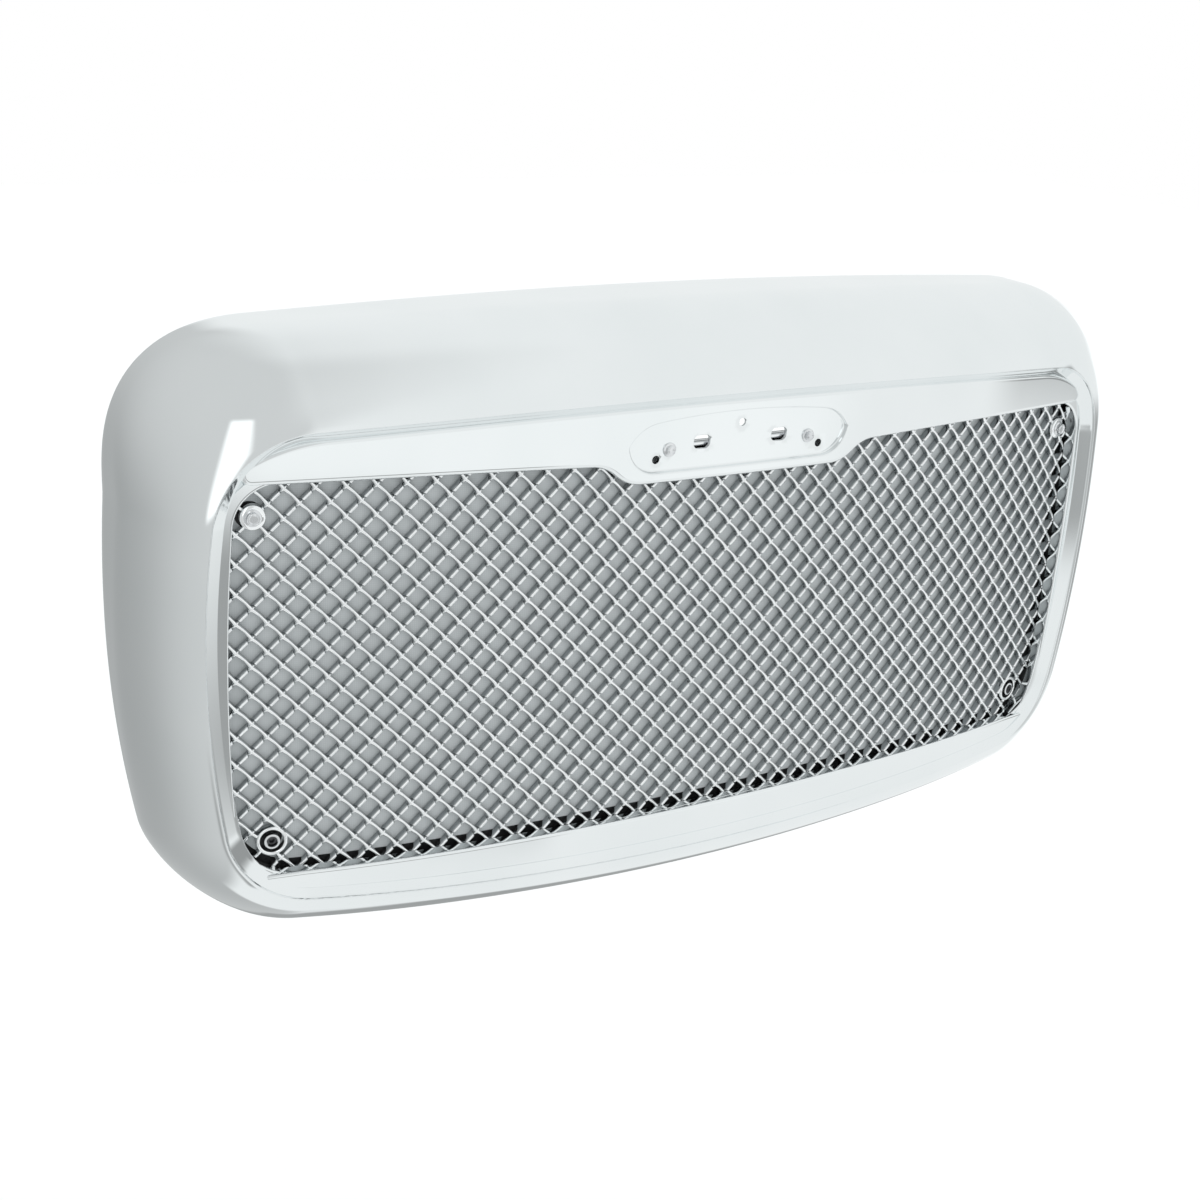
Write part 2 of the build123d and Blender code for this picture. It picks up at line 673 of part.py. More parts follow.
def screen_rivet():
    """A rivet that holds the screen on its frame, seen from its low front head."""
    grip = SCREEN_THICK + FRAME_THICK
    with BuildPart() as rivet:
        with BuildSketch():
            Circle(RIVET_HEAD_RADIUS)
        extrude(amount=RIVET_FRONT_HEAD)
        with BuildSketch():
            Circle(RIVET_RADIUS)
        extrude(amount=-grip)
        with BuildSketch(Plane.XY.offset(-grip)):
            Circle(RIVET_HEAD_RADIUS)
        extrude(amount=-RIVET_REAR_HEAD)
        fillet(rivet.faces().sort_by(Axis.Z)[0].edges(), RIVET_REAR_HEAD / 2)
    return rivet.part


# --- fasteners, each drawn along its own axis with its seat at the origin -------------------
def flange_bolt(across_flats, head_height, flange_radius, shank_radius, length):
    """A hex flange bolt with its head in front of the origin and its shank behind."""
    with BuildPart() as bolt:
        with BuildSketch():
            Circle(flange_radius)
        extrude(amount=FLANGE_RIM)
        chamfer(bolt.edges().sort_by(Axis.Z)[-1], FLANGE_RIM / 3)
        with BuildSketch():
            RegularPolygon(across_flats / 2, 6, major_radius=False)
        extrude(amount=head_height)
        with BuildSketch(Plane.XY.offset(head_height)):
            Circle(across_flats * CROWN_SHARE)
        extrude(amount=CROWN_HEIGHT, taper=45)
        with BuildSketch():
            Circle(shank_radius)
        extrude(amount=-length)
        chamfer(bolt.edges().sort_by(Axis.Z)[0], THREAD_CHAMFER)
    return bolt.part


def socket_screw():
    """A cap screw with a round head and a hex socket."""
    with BuildPart() as screw:
        with BuildSketch():
            Circle(CAP_RADIUS)
        extrude(amount=CAP_HEIGHT)
        fillet(screw.edges().sort_by(Axis.Z)[-1], THREAD_CHAMFER)
        with BuildSketch(Plane.XY.offset(CAP_HEIGHT)):
            RegularPolygon(SOCKET_FLATS / 2, 6, major_radius=False)
        extrude(amount=-SOCKET_DEPTH, mode=Mode.SUBTRACT)
        with BuildSketch():
            Circle(BOLT_RADIUS)
        extrude(amount=-LOWER_SCREW_LENGTH)
        chamfer(screw.edges().sort_by(Axis.Z)[0], THREAD_CHAMFER)
    return screw.part


def ring_washer(outer_radius, shank_radius, thickness):
    """A flat washer that stands in front of the origin."""
    with BuildPart() as washer:
        with BuildSketch():
            Circle(outer_radius)
            Circle(shank_radius + HOLE_CLEARANCE, mode=Mode.SUBTRACT)
        extrude(amount=thickness)
    return washer.part


def hex_nut(across_flats, shank_radius, height):
    """A hex nut that stands in front of the origin, chamfered on its outer corners."""
    with BuildPart() as nut:
        with BuildSketch():
            RegularPolygon(across_flats / 2, 6, major_radius=False)
        extrude(amount=height)
        with BuildSketch():
            Circle(across_flats * NUT_ROUND)
        extrude(amount=height, taper=-NUT_TAPER, mode=Mode.INTERSECT)
        with BuildSketch():
            Circle(shank_radius + RUNNING_GAP)
        extrude(amount=height, mode=Mode.SUBTRACT)
    return nut.part


def boss_sleeve():
    """The ring that stands on the frame round a lower screw."""
    with BuildPart() as sleeve:
        with BuildSketch():
            Circle(SLEEVE_RADIUS)
        extrude(amount=SLEEVE_HEIGHT)
        fillet(sleeve.edges().sort_by(Axis.Z)[-1], SLEEVE_ROUND)
        with BuildSketch(Plane.XY.offset(SLEEVE_FLOOR)):
            Circle(SLEEVE_BORE)
        extrude(amount=SLEEVE_HEIGHT, mode=Mode.SUBTRACT)
        with BuildSketch():
            Circle(BOLT_RADIUS + HOLE_CLEARANCE)
        extrude(amount=SLEEVE_HEIGHT, mode=Mode.SUBTRACT)
    return sleeve.part


def pan_screw():
    """A pan-head screw with a cross recess, for the straps."""
    with BuildPart() as screw:
        with BuildSketch():
            Circle(PAN_RADIUS)
        extrude(amount=PAN_HEIGHT)
        fillet(screw.edges().sort_by(Axis.Z)[-1], PAN_ROUND)
        with BuildSketch(Plane.XY.offset(PAN_HEIGHT)):
            Rectangle(PAN_RADIUS, CROSS_WIDTH)
            Rectangle(CROSS_WIDTH, PAN_RADIUS)
        extrude(amount=-PAN_HEIGHT / 2, mode=Mode.SUBTRACT)
        with BuildSketch():
            Circle(SCREW_RADIUS)
        extrude(amount=-WASHER_THICK - STRAP_THICK - SCREW_BITE)
        chamfer(screw.edges().sort_by(Axis.Z)[0], THREAD_CHAMFER)
    return screw.part


def mounting_stud():
    """A stud pressed through its strap, with a low round head in front."""
    with BuildPart() as stud:
        with BuildSketch():
            Circle(STUD_RADIUS)
        extrude(amount=STUD_LENGTH)
        chamfer(stud.edges().sort_by(Axis.Z)[-1], THREAD_CHAMFER)
        with BuildSketch():
            Circle(STUD_PRESS_RADIUS)
        extrude(amount=-STRAP_THICK)
        with BuildSketch(Plane.XY.offset(-STRAP_THICK)):
            Circle(STUD_HEAD_RADIUS)
        extrude(amount=-STUD_HEAD)
    return stud.part


# --- straps -------------------------------------------------------------------------------
def strap(x, front_y, hole_levels, hole_radius):
    """A flat upright strap with round corners and its screw holes."""
    with BuildPart() as bar:
        with BuildSketch(Plane.XZ.offset(-front_y)):
            with Locations((x, (STRAP_TOP + STRAP_BOTTOM) / 2)):
                RectangleRounded(STRAP_WIDTH, STRAP_TOP - STRAP_BOTTOM, STRAP_CORNER)
            with Locations(*[(x, level) for level in BOSS_LEVELS]):
                Circle(SCREW_RADIUS + HOLE_CLEARANCE, mode=Mode.SUBTRACT)
            with Locations(*[(x, level) for level in hole_levels]):
                Circle(hole_radius, mode=Mode.SUBTRACT)
        extrude(amount=-STRAP_THICK)
    return bar.part


def strap_pad_set(x, strap_front):
    """Rubber blocks between the screen frame and a pair of straps."""
    with BuildPart() as pads:
        with BuildSketch(Plane.XZ.offset(-strap_front)):
            with Locations(*grid_points(x, STRAP_PAD_LEVELS)):
                Rectangle(STRAP_WIDTH, STRAP_PAD_HEIGHT)
        extrude(amount=STRAP_PAD_REACH)
        with BuildSketch(Plane.XZ, mode=Mode.PRIVATE) as everywhere:
            Rectangle(2 * REACH + STRAP_OUTER, 2 * REACH)
        behind_frame = -FRAME_AHEAD - FRAME_THICK
        add(mesh_bowed(everywhere.sketch, behind_frame, behind_frame - REACH), mode=Mode.INTERSECT)
    return pads.part


def strap_points():
    """Where the strap screws go: x, the rear face of the strap there, and z."""
    points = []
    for x, strap_front in ((STRAP_OUTER, OUTER_STRAP_FRONT), (STRAP_INNER, INNER_STRAP_FRONT)):
        for side_x, level in grid_points(x, BOSS_LEVELS):
            points.append((side_x, strap_front + STRAP_THICK, level))
    return points


# --- the pieces ---------------------------------------------------------------------------
def save(part, label):
    """Names a piece and writes its file."""
    part.label = label
    export_step(part, f"parts/{label}.step")


save(make_surround_shell(), "surround_shell")
save(make_mesh_insert(), "mesh_insert")
save(make_bug_screen(), "bug_screen")
save(make_screen_frame(), "screen_frame")
save(placed(screen_rivet(), rivet_planes()), "screen_rivets")

upper_head = (HEX_ACROSS_FLATS, HEX_HEIGHT, BOLT_FLANGE_RADIUS)
upper_bolt = flange_bolt(*upper_head, BOLT_RADIUS, UPPER_BOLT_LENGTH)
save(placed(upper_bolt, both_sides(*CORNER_TOP, PAD_AHEAD)), "upper_corner_bolts")
save(placed(boss_sleeve(), both_sides(*CORNER_BOTTOM, -FRAME_AHEAD)), "lower_boss_sleeves")
sleeve_floors = both_sides(*CORNER_BOTTOM, SLEEVE_FLOOR - FRAME_AHEAD)
save(placed(socket_screw(), sleeve_floors), "lower_corner_screws")

frame_back = -FRAME_AHEAD - FRAME_THICK - SEAT_GAP
frame_backs = both_sides(*CORNER_TOP, frame_back) + both_sides(*CORNER_BOTTOM, frame_back)
corner_washer = ring_washer(CORNER_WASHER_RADIUS, BOLT_RADIUS, WASHER_THICK)
save(placed(corner_washer, [-plane for plane in frame_backs]), "corner_washers")
corner_nut = hex_nut(HEX_ACROSS_FLATS, BOLT_RADIUS, NUT_HEIGHT)
save(placed(corner_nut, [(-plane).offset(WASHER_THICK) for plane in frame_backs]), "corner_nuts")

badge_seats = both_sides(*BADGE_BOLT, RECESS_FLOOR_AHEAD)
badge_head = (BADGE_FLATS, BADGE_HEX_HEIGHT, BADGE_FLANGE_RADIUS)
badge_bolt = flange_bolt(*badge_head, BADGE_BOLT_RADIUS, BADGE_BOLT_LENGTH)
save(placed(badge_bolt, badge_seats), "badge_bolts")
plate_front = RECESS_FLOOR_AHEAD - RECESS_WALL
with BuildSketch(Plane.XZ) as plate_outline:
    with Locations((0, (BADGE_PLATE_BOTTOM + BADGE_PLATE_TOP) / 2)):
        RectangleRounded(2 * BADGE_PLATE_HALF, BADGE_PLATE_TOP - BADGE_PLATE_BOTTOM, BADGE_PLATE_ROUND)
    with Locations((0, PIN_HOLE_TOP)):
        Rectangle(*SLOT_SIZE, mode=Mode.SUBTRACT)
    with Locations(*mirrored_points(PIN_HOLE_SIDE)):
        Circle(PIN_HOLE_RADIUS + HOLE_CLEARANCE, mode=Mode.SUBTRACT)
    with Locations(*mirrored_points(SLOT_CENTRE)):
        RectangleRounded(*BADGE_SLOT_SIZE, SLOT_CORNER, mode=Mode.SUBTRACT)
    with Locations(*mirrored_points(BADGE_BOLT)):
        Circle(BADGE_BOLT_RADIUS + HOLE_CLEARANCE, mode=Mode.SUBTRACT)
save(bowed(plate_outline.sketch, plate_front, plate_front - BADGE_PLATE_THICK), "badge_backing_plate")
plate_backs = both_sides(*BADGE_BOLT, plate_front - BADGE_PLATE_THICK - SEAT_GAP)
badge_nut = hex_nut(BADGE_FLATS, BADGE_BOLT_RADIUS, BADGE_NUT_HEIGHT)
save(placed(badge_nut, [-plane for plane in plate_backs]), "badge_nuts")

stud_hole = STUD_PRESS_RADIUS + RUNNING_GAP
stud_levels = (STUD_LEVEL, -STUD_LEVEL)
save(strap(-STRAP_OUTER, OUTER_STRAP_FRONT, stud_levels, stud_hole), "strap_outer_left")
save(strap(STRAP_OUTER, OUTER_STRAP_FRONT, stud_levels, stud_hole), "strap_outer_right")
save(strap(-STRAP_INNER, INNER_STRAP_FRONT, (0,), LIGHTENING_RADIUS), "strap_inner_left")
save(strap(STRAP_INNER, INNER_STRAP_FRONT, (0,), LIGHTENING_RADIUS), "strap_inner_right")
save(strap_pad_set(STRAP_OUTER, OUTER_STRAP_FRONT), "outer_strap_pads")
save(strap_pad_set(STRAP_INNER, INNER_STRAP_FRONT), "inner_strap_pads")
strap_backs = [upright(*point) for point in strap_points()]
save(placed(ring_washer(STRAP_WASHER_RADIUS, SCREW_RADIUS, WASHER_THICK), strap_backs), "strap_washers")
save(placed(pan_screw(), [plane.offset(WASHER_THICK) for plane in strap_backs]), "strap_screws")
stud_points = [(x, 0, level) for x, level in grid_points(STRAP_OUTER, stud_levels)]
save(placed(mounting_stud(), [upright(*point) for point in stud_points]), "mounting_studs")
save(ring(seal_section), "rim_seal")
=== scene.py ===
from math import asin, atan2, cos, hypot, pi, radians, sin, sqrt

import bmesh
import bpy
import numpy as np
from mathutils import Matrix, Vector
from mathutils.geometry import delaunay_2d_cdt


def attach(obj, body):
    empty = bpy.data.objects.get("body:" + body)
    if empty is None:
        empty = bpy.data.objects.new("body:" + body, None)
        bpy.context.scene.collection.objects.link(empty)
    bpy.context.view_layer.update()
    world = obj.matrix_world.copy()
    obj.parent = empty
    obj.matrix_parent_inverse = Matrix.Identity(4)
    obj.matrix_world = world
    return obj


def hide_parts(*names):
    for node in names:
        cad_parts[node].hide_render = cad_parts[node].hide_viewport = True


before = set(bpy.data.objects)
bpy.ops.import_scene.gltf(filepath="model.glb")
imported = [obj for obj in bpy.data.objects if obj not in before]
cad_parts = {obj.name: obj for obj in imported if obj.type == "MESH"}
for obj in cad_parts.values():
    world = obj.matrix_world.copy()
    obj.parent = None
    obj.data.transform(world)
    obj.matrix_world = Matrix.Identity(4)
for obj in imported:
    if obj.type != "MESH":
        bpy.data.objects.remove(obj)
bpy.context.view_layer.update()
MM = 0.001

# --- camera ---------------------------------------------------------------------------------
camera_data = bpy.data.cameras.new("camera")
camera_data.lens = 55.0913
camera_data.sensor_width = 36.0
camera = bpy.data.objects.new("camera", camera_data)
bpy.context.scene.collection.objects.link(camera)
camera.location = (-1.18360, -1.62301, 0.74727)
camera.rotation_mode = "QUATERNION"
camera.rotation_quaternion = (0.79411384, 0.54294529, -0.18093310, -0.20458941)
bpy.context.scene.camera = camera

# --- dimensions shared with the CAD model, mm --------------------------------------------------
FACE_Y = -48.0
MID_RADIUS = 3945.0
MID_HALF_WIDTH = 314.0
MESH_BOW = 1417.0
CHROME_BOW = 2040.0
CREASE_AHEAD = 24.0
WALL = 3.0
ROLL_START = radians(23.5)
HALF_CELL = 15.7
ROW_LEVEL = 3.0
MESH_ROWS = 16
BAR_STEPS = 12
HEX_TURN = radians(12)
UPPER_CORNER = (545.0, 179.0)
LOWER_CORNER = (525.0, -180.0)
BADGE_BOLT = (93.5, 222.5)
RECESS_HALF_WIDTH = 148.0
MESH_DEPTH = 9.5


def bow(x, end_radius):
    """How far a bowed face lies behind its middle."""
    x = np.abs(np.asarray(x, float))
    turn = asin(MID_HALF_WIDTH / MID_RADIUS)
    centre_x = MID_HALF_WIDTH - end_radius * sin(turn)
    centre_y = MID_RADIUS * (1 - cos(turn)) + end_radius * cos(turn)
    middle = MID_RADIUS - np.sqrt(MID_RADIUS**2 - np.minimum(x, MID_HALF_WIDTH) ** 2)
    ends = centre_y - np.sqrt(end_radius**2 - (np.maximum(x, MID_HALF_WIDTH) - centre_x) ** 2)
    return np.where(x <= MID_HALF_WIDTH, middle, ends)


def tilt(x, end_radius):
    """Angle of the bowed face at x, positive on the right."""
    turn = asin(MID_HALF_WIDTH / MID_RADIUS)
    centre_x = MID_HALF_WIDTH - end_radius * sin(turn)
    angle = asin(abs(x) / MID_RADIUS) if abs(x) <= MID_HALF_WIDTH else asin((abs(x) - centre_x) / end_radius)
    return angle if x > 0 else -angle


def across(distance):
    """The x of a point this far along the bowed mesh face."""
    turn = asin(MID_HALF_WIDTH / MID_RADIUS)
    middle = MID_RADIUS * turn
    if abs(distance) <= middle:
        return MID_RADIUS * sin(distance / MID_RADIUS)
    centre_x = MID_HALF_WIDTH - MESH_BOW * sin(turn)
    x = centre_x + MESH_BOW * sin(turn + (abs(distance) - middle) / MESH_BOW)
    return x if distance > 0 else -x


# --- flat outlines ------------------------------------------------------------------------------
def arc(centre, radius, start, end, count):
    """Points on an arc, angles in radians."""
    angles = np.linspace(start, end, count + 1)
    return [(centre[0] + radius * cos(a), centre[1] + radius * sin(a)) for a in angles]


def circle_through(a, b, c):
    """Centre and radius of the circle through three points."""
    ax, ay, bx, by, cx, cy = *a, *b, *c
    d = 2 * (ax * (by - cy) + bx * (cy - ay) + cx * (ay - by))
    ux = ((ax**2 + ay**2) * (by - cy) + (bx**2 + by**2) * (cy - ay) + (cx**2 + cy**2) * (ay - by)) / d
    uy = ((ax**2 + ay**2) * (cx - bx) + (bx**2 + by**2) * (ax - cx) + (cx**2 + cy**2) * (bx - ax)) / d
    return (ux, uy), hypot(ax - ux, ay - uy)


def tangent_circle(p, t, q):
    """Centre and radius of the circle through p, along t there, and through q."""
    n = (-t[1], t[0])
    dx, dy = q[0] - p[0], q[1] - p[1]
    k = (dx * dx + dy * dy) / (2 * (dx * n[0] + dy * n[1]))
    return (p[0] + n[0] * k, p[1] + n[1] * k), abs(k)


def angle_of(centre, p):
    return atan2(p[1] - centre[1], p[0] - centre[0])


def between(c1, d1, c2, d2, near):
    """The point at distances d1 and d2 from two centres that is nearest to a given point."""
    gap = hypot(c2[0] - c1[0], c2[1] - c1[1])
    a = (d1 * d1 - d2 * d2 + gap * gap) / (2 * gap)
    h = sqrt(max(d1 * d1 - a * a, 0))
    ex, ey = (c2[0] - c1[0]) / gap, (c2[1] - c1[1]) / gap
    mx, my = c1[0] + a * ex, c1[1] + a * ey
    options = [(mx - h * ey, my + h * ex), (mx + h * ey, my - h * ex)]
    return min(options, key=lambda p: hypot(p[0] - near[0], p[1] - near[1]))


def short_arc(centre, radius, p, q, count):
    """The shorter arc from p to q."""
    start, end = angle_of(centre, p), angle_of(centre, q)
    while end - start > pi:
        end -= 2 * pi
    while end - start < -pi:
        end += 2 * pi
    return arc(centre, radius, start, end, count)


def touch(centre, radius, point):
    """Where the line from a centre through a point meets the circle."""
    d = hypot(point[0] - centre[0], point[1] - centre[1])
    return (centre[0] + (point[0] - centre[0]) * radius / d, centre[1] + (point[1] - centre[1]) * radius / d)


def crease_half():
    top_corner, side, bottom_corner = (580.0, 265.0), (600.5, 58.0), (566.0, -233.0)
    top, top_r = tangent_circle((0, 284.0), (1, 0), top_corner)
    bottom, bottom_r = tangent_circle((0, -260.0), (1, 0), bottom_corner)
    flank, flank_r = circle_through(top_corner, side, bottom_corner)
    upper = between(top, top_r - 108, flank, flank_r - 108, top_corner)
    lower = between(bottom, bottom_r - 100, flank, flank_r - 100, bottom_corner)
    a, b = touch(top, top_r, upper), touch(flank, flank_r, upper)
    c, d = touch(flank, flank_r, lower), touch(bottom, bottom_r, lower)
    line = short_arc(top, top_r, (0, 284.0), a, 70)
    line += short_arc(upper, 108, a, b, 44)[1:]
    line += short_arc(flank, flank_r, b, c, 50)[1:]
    line += short_arc(lower, 100, c, d, 44)[1:]
    line += short_arc(bottom, bottom_r, d, (0, -260.0), 70)[1:]
    return line


def opening_half():
    top_corner, side, bottom_corner = (566.0, 217.0), (573.5, 0.0), (561.0, -213.0)
    flank, flank_r = circle_through(top_corner, side, bottom_corner)
    upper_z, lower_z = 217.0 - 46, -213.0 + 66
    upper = (flank[0] + sqrt((flank_r - 46) ** 2 - (upper_z - flank[1]) ** 2), upper_z)
    lower = (flank[0] + sqrt((flank_r - 66) ** 2 - (lower_z - flank[1]) ** 2), lower_z)
    b, c = touch(flank, flank_r, upper), touch(flank, flank_r, lower)
    line = [(upper[0] * k / 60, 217.0) for k in range(60)]
    line += short_arc(upper, 46, (upper[0], 217.0), b, 20)
    line += short_arc(flank, flank_r, b, c, 30)[1:]
    line += short_arc(lower, 66, c, (lower[0], -213.0), 22)[1:]
    line += [(lower[0] * k / 60, -213.0) for k in range(59, -1, -1)]
    return line


def brow_half():
    turn, tip = (480.0, 259.5), (586.0, 215.0)
    crown, crown_r = tangent_circle((0, 274.0), (1, 0), turn)
    a = angle_of(crown, turn)
    shoulder, shoulder_r = tangent_circle(turn, (sin(a), -cos(a)), tip)
    edge, edge_r = circle_through(tip, (400.0, 216.0), (192.0, 211.0))
    nose = between(shoulder, shoulder_r - 11, edge, edge_r + 11, tip)
    p, q = touch(shoulder, shoulder_r, nose), touch(edge, edge_r, nose)
    middle = (160.0, 199.0)
    low, low_r = tangent_circle((128.0, 187.0), (1, 0), middle)
    high, high_r = tangent_circle((192.0, 211.0), (-1, 0), middle)
    line = short_arc(crown, crown_r, (0, 274.0), turn, 70)
    line += short_arc(shoulder, shoulder_r, turn, p, 24)[1:]
    line += short_arc(nose, 11, p, q, 14)[1:]
    line += short_arc(edge, edge_r, q, (192.0, 211.0), 60)[1:]
    line += short_arc(high, high_r, (192.0, 211.0), middle, 10)[1:]
    line += short_arc(low, low_r, middle, (128.0, 187.0), 10)[1:]
    line += [(128.0 * k / 20, 187.0) for k in range(19, -1, -1)]
    return line


def sill_half():
    turn, tip, end = (480.0, -233.0), (577.0, -211.0), (500.0, -209.5)
    crown, crown_r = tangent_circle((0, -250.0), (1, 0), turn)
    a = angle_of(crown, turn)
    shoulder, shoulder_r = tangent_circle(turn, (-sin(a), cos(a)), tip)
    edge, edge_r = tangent_circle((0, -213.5), (1, 0), end)
    run = hypot(tip[0] - end[0], tip[1] - end[1])
    down = ((tip[1] - end[1]) / run, -(tip[0] - end[0]) / run)
    best = None
    for step in range(4000):
        share = step / 4000
        on_edge = (end[0] + (tip[0] - end[0]) * share, end[1] + (tip[1] - end[1]) * share)
        p = (on_edge[0] + 7 * down[0], on_edge[1] + 7 * down[1])
        miss = abs(hypot(p[0] - shoulder[0], p[1] - shoulder[1]) - (shoulder_r - 7))
        if best is None or miss < best[0]:
            best = (miss, p)
    nose = best[1]
    p = touch(shoulder, shoulder_r, nose)
    q = (nose[0] - 7 * down[0], nose[1] - 7 * down[1])
    line = short_arc(edge, edge_r, (0, -213.5), end, 60)
    line += [(end[0] + (q[0] - end[0]) * k / 5, end[1] + (q[1] - end[1]) * k / 5) for k in range(1, 6)]
    line += short_arc(nose, 7, q, p, 10)[1:]
    line += short_arc(shoulder, shoulder_r, p, turn, 20)[1:]
    line += short_arc(crown, crown_r, turn, (0, -250.0), 60)[1:]
    return line


def recess_half():
    shoulder, side, foot = (112.0, 254.0), (147.0, 230.0), (112.0, 199.0)
    crown, crown_r = tangent_circle((0, 261.0), (1, 0), shoulder)
    a = angle_of(crown, shoulder)
    end, end_r = tangent_circle(shoulder, (sin(a), -cos(a)), side)
    under, under_r = tangent_circle(foot, (1, 0), side)
    line = short_arc(crown, crown_r, (0, 261.0), shoulder, 30)
    line += short_arc(end, end_r, shoulder, side, 16)[1:]
    line += short_arc(under, under_r, side, foot, 16)[1:]
    line += [(112.0 * k / 24, 199.0) for k in range(23, -1, -1)]
    return line


def closed(half):
    """A closed outline from its right half, which runs from the top middle clockwise."""
    return half + [(-x, z) for x, z in half[-2:0:-1]]


def outward(points):
    """Outward normals of a clockwise closed outline."""
    p = np.array(points)
    ahead, behind = np.roll(p, -1, 0) - p, p - np.roll(p, 1, 0)
    ahead /= np.linalg.norm(ahead, axis=1)[:, None]
    behind /= np.linalg.norm(behind, axis=1)[:, None]
    t = ahead + behind
    t /= np.linalg.norm(t, axis=1)[:, None]
    return np.stack([-t[:, 1], t[:, 0]], 1)


def circle_outline(x, z, radius, count=32):
    """Clockwise circle."""
    turns = [2 * pi * k / count for k in range(count)]
    return [(x + radius * sin(turn), z + radius * cos(turn)) for turn in turns]


def rounded_slot(x, z, width, height, radius):
    """Clockwise rounded rectangle."""
    points = []
    for sx, sz, start in ((1, 1, pi / 2), (1, -1, 0), (-1, -1, -pi / 2), (-1, 1, -pi)):
        c = (x + sx * (width / 2 - radius), z + sz * (height / 2 - radius))
        points += arc(c, radius, start, start - pi / 2, 6)
    return points


# --- meshes ---------------------------------------------------------------------------------
class Shape:
    """Vertices and faces of one piece, in mm."""

    def __init__(self):
        self.verts = []
        self.faces = []

    def grid(self, rows, wrap_rows=False, wrap_columns=True, flip=False):
        """Quads over rows of points."""
        base = len(self.verts)
        height, width = len(rows), len(rows[0])
        for row in rows:
            self.verts.extend(tuple(p) for p in row)
        for i in range(height if wrap_rows else height - 1):
            for j in range(width if wrap_columns else width - 1):
                a = base + i * width + j
                b = base + i * width + (j + 1) % width
                c = base + ((i + 1) % height) * width + (j + 1) % width
                d = base + ((i + 1) % height) * width + j
                self.faces.append((a, d, c, b) if flip else (a, b, c, d))

    def triangles(self, points, faces, flip=False):
        base = len(self.verts)
        self.verts.extend(tuple(p) for p in points)
        for f in faces:
            f = tuple(base + k for k in f)
            self.faces.append(f[::-1] if flip else f)

    def build(self, name, material, angle=32.0):
        mesh = bpy.data.meshes.new(name)
        mesh.from_pydata([Vector(v) * MM for v in self.verts], [], self.faces)
        work = bmesh.new()
        work.from_mesh(mesh)
        bmesh.ops.remove_doubles(work, verts=work.verts, dist=2e-6)
        bmesh.ops.dissolve_degenerate(work, edges=work.edges, dist=1e-7)
        bmesh.ops.recalc_face_normals(work, faces=work.faces)
        work.to_mesh(mesh)
        work.free()
        mesh.shade_smooth()
        mesh.set_sharp_from_angle(angle=radians(angle))
        mesh.materials.append(material)
        thing = bpy.data.objects.new(name, mesh)
        bpy.context.scene.collection.objects.link(thing)
        return thing


def lift(points, ahead, end_radius=CHROME_BOW):
    """Front-view points put this far ahead of the bowed face."""
    p = np.asarray(points, float)
    return np.stack([p[:, 0], FACE_Y + bow(p[:, 0], end_radius) - ahead, p[:, 1]], 1)


def shrunk(points, distance):
    return np.array(points) - outward(points) * distance


def sweep(shape, outline, profile, gap=0):
    """Rows that follow an outline; the profile lists insets and heights ahead of the face.

    The gap leaves out that many points each side of the first one."""
    normals = outward(outline)
    flat = np.array(outline)
    rows = []
    for step in profile:
        end_radius = step[2] if len(step) > 2 else CHROME_BOW
        row = lift(flat - normals * step[0], step[1], end_radius)
        rows.append(row[gap:len(row) - gap + 1] if gap else row)
    shape.grid(rows, wrap_columns=gap == 0)


def inside(points, outline):
    """Which points lie inside a closed outline."""
    p = np.asarray(points, float)
    a = np.asarray(outline, float)
    b = np.roll(a, -1, 0)
    x, z = p[:, 0][:, None], p[:, 1][:, None]
    crosses = (a[:, 1] > z) != (b[:, 1] > z)
    rise = np.where(b[:, 1] == a[:, 1], 1e-9, b[:, 1] - a[:, 1])
    at = a[:, 0] + (z - a[:, 1]) * (b[:, 0] - a[:, 0]) / rise
    return (crosses & (x < at)).sum(1) % 2 == 1


def cap(shape, outline, holes, ahead, step=11.0, end_radius=CHROME_BOW):
    """A bowed face between an outline and its holes."""
    loops = [np.asarray(outline, float)] + [np.asarray(h, float) for h in holes]
    edge_points = np.concatenate(loops)
    low, high = loops[0].min(0), loops[0].max(0)
    xs = np.arange(low[0] + step / 2, high[0], step)
    zs = np.arange(low[1] + step / 2, high[1], step)
    grid = np.array([(x, z) for x in xs for z in zs])
    if len(grid):
        keep = inside(grid, loops[0])
        for hole in loops[1:]:
            keep &= ~inside(grid, hole)
        grid = grid[keep]
    if len(grid):
        gaps = np.min(np.linalg.norm(grid[:, None] - edge_points[None], axis=2), axis=1)
        grid = grid[gaps > step * 0.45]
    edges, base = [], 0
    for loop in loops:
        edges += [(base + k, base + (k + 1) % len(loop)) for k in range(len(loop))]
        base += len(loop)
    points = np.concatenate([edge_points, grid]) if len(grid) else edge_points
    made = delaunay_2d_cdt([Vector(p) for p in points], edges, [], 0, 1e-5)
    flat = np.array([(v.x, v.y) for v in made[0]])
    faces = [tuple(f) for f in made[2]]
    middles = np.array([flat[list(f)].mean(0) for f in faces])
    keep = inside(middles, loops[0])
    for hole in loops[1:]:
        keep &= ~inside(middles, hole)
    shape.triangles(lift(flat, ahead, end_radius), [f for f, k in zip(faces, keep) if k])


def rounded(outer_inset, wall_ahead, radius, face_ahead, steps=6):
    """Profile of a rounded front edge: from the wall round to the face, with a support ring."""
    profile = [(outer_inset, wall_ahead)]
    for k in range(steps + 1):
        a = pi / 2 * k / steps
        profile.append((outer_inset + radius * (1 - cos(a)), face_ahead - radius * (1 - sin(a))))
    profile.append((outer_inset + radius + 0.7, face_ahead))
    return profile


# --- chrome surround --------------------------------------------------------------------------
def by_side(side, top, bottom, nx, nz):
    return side * nx**2 + (top if nz > 0 else bottom) * nz**2


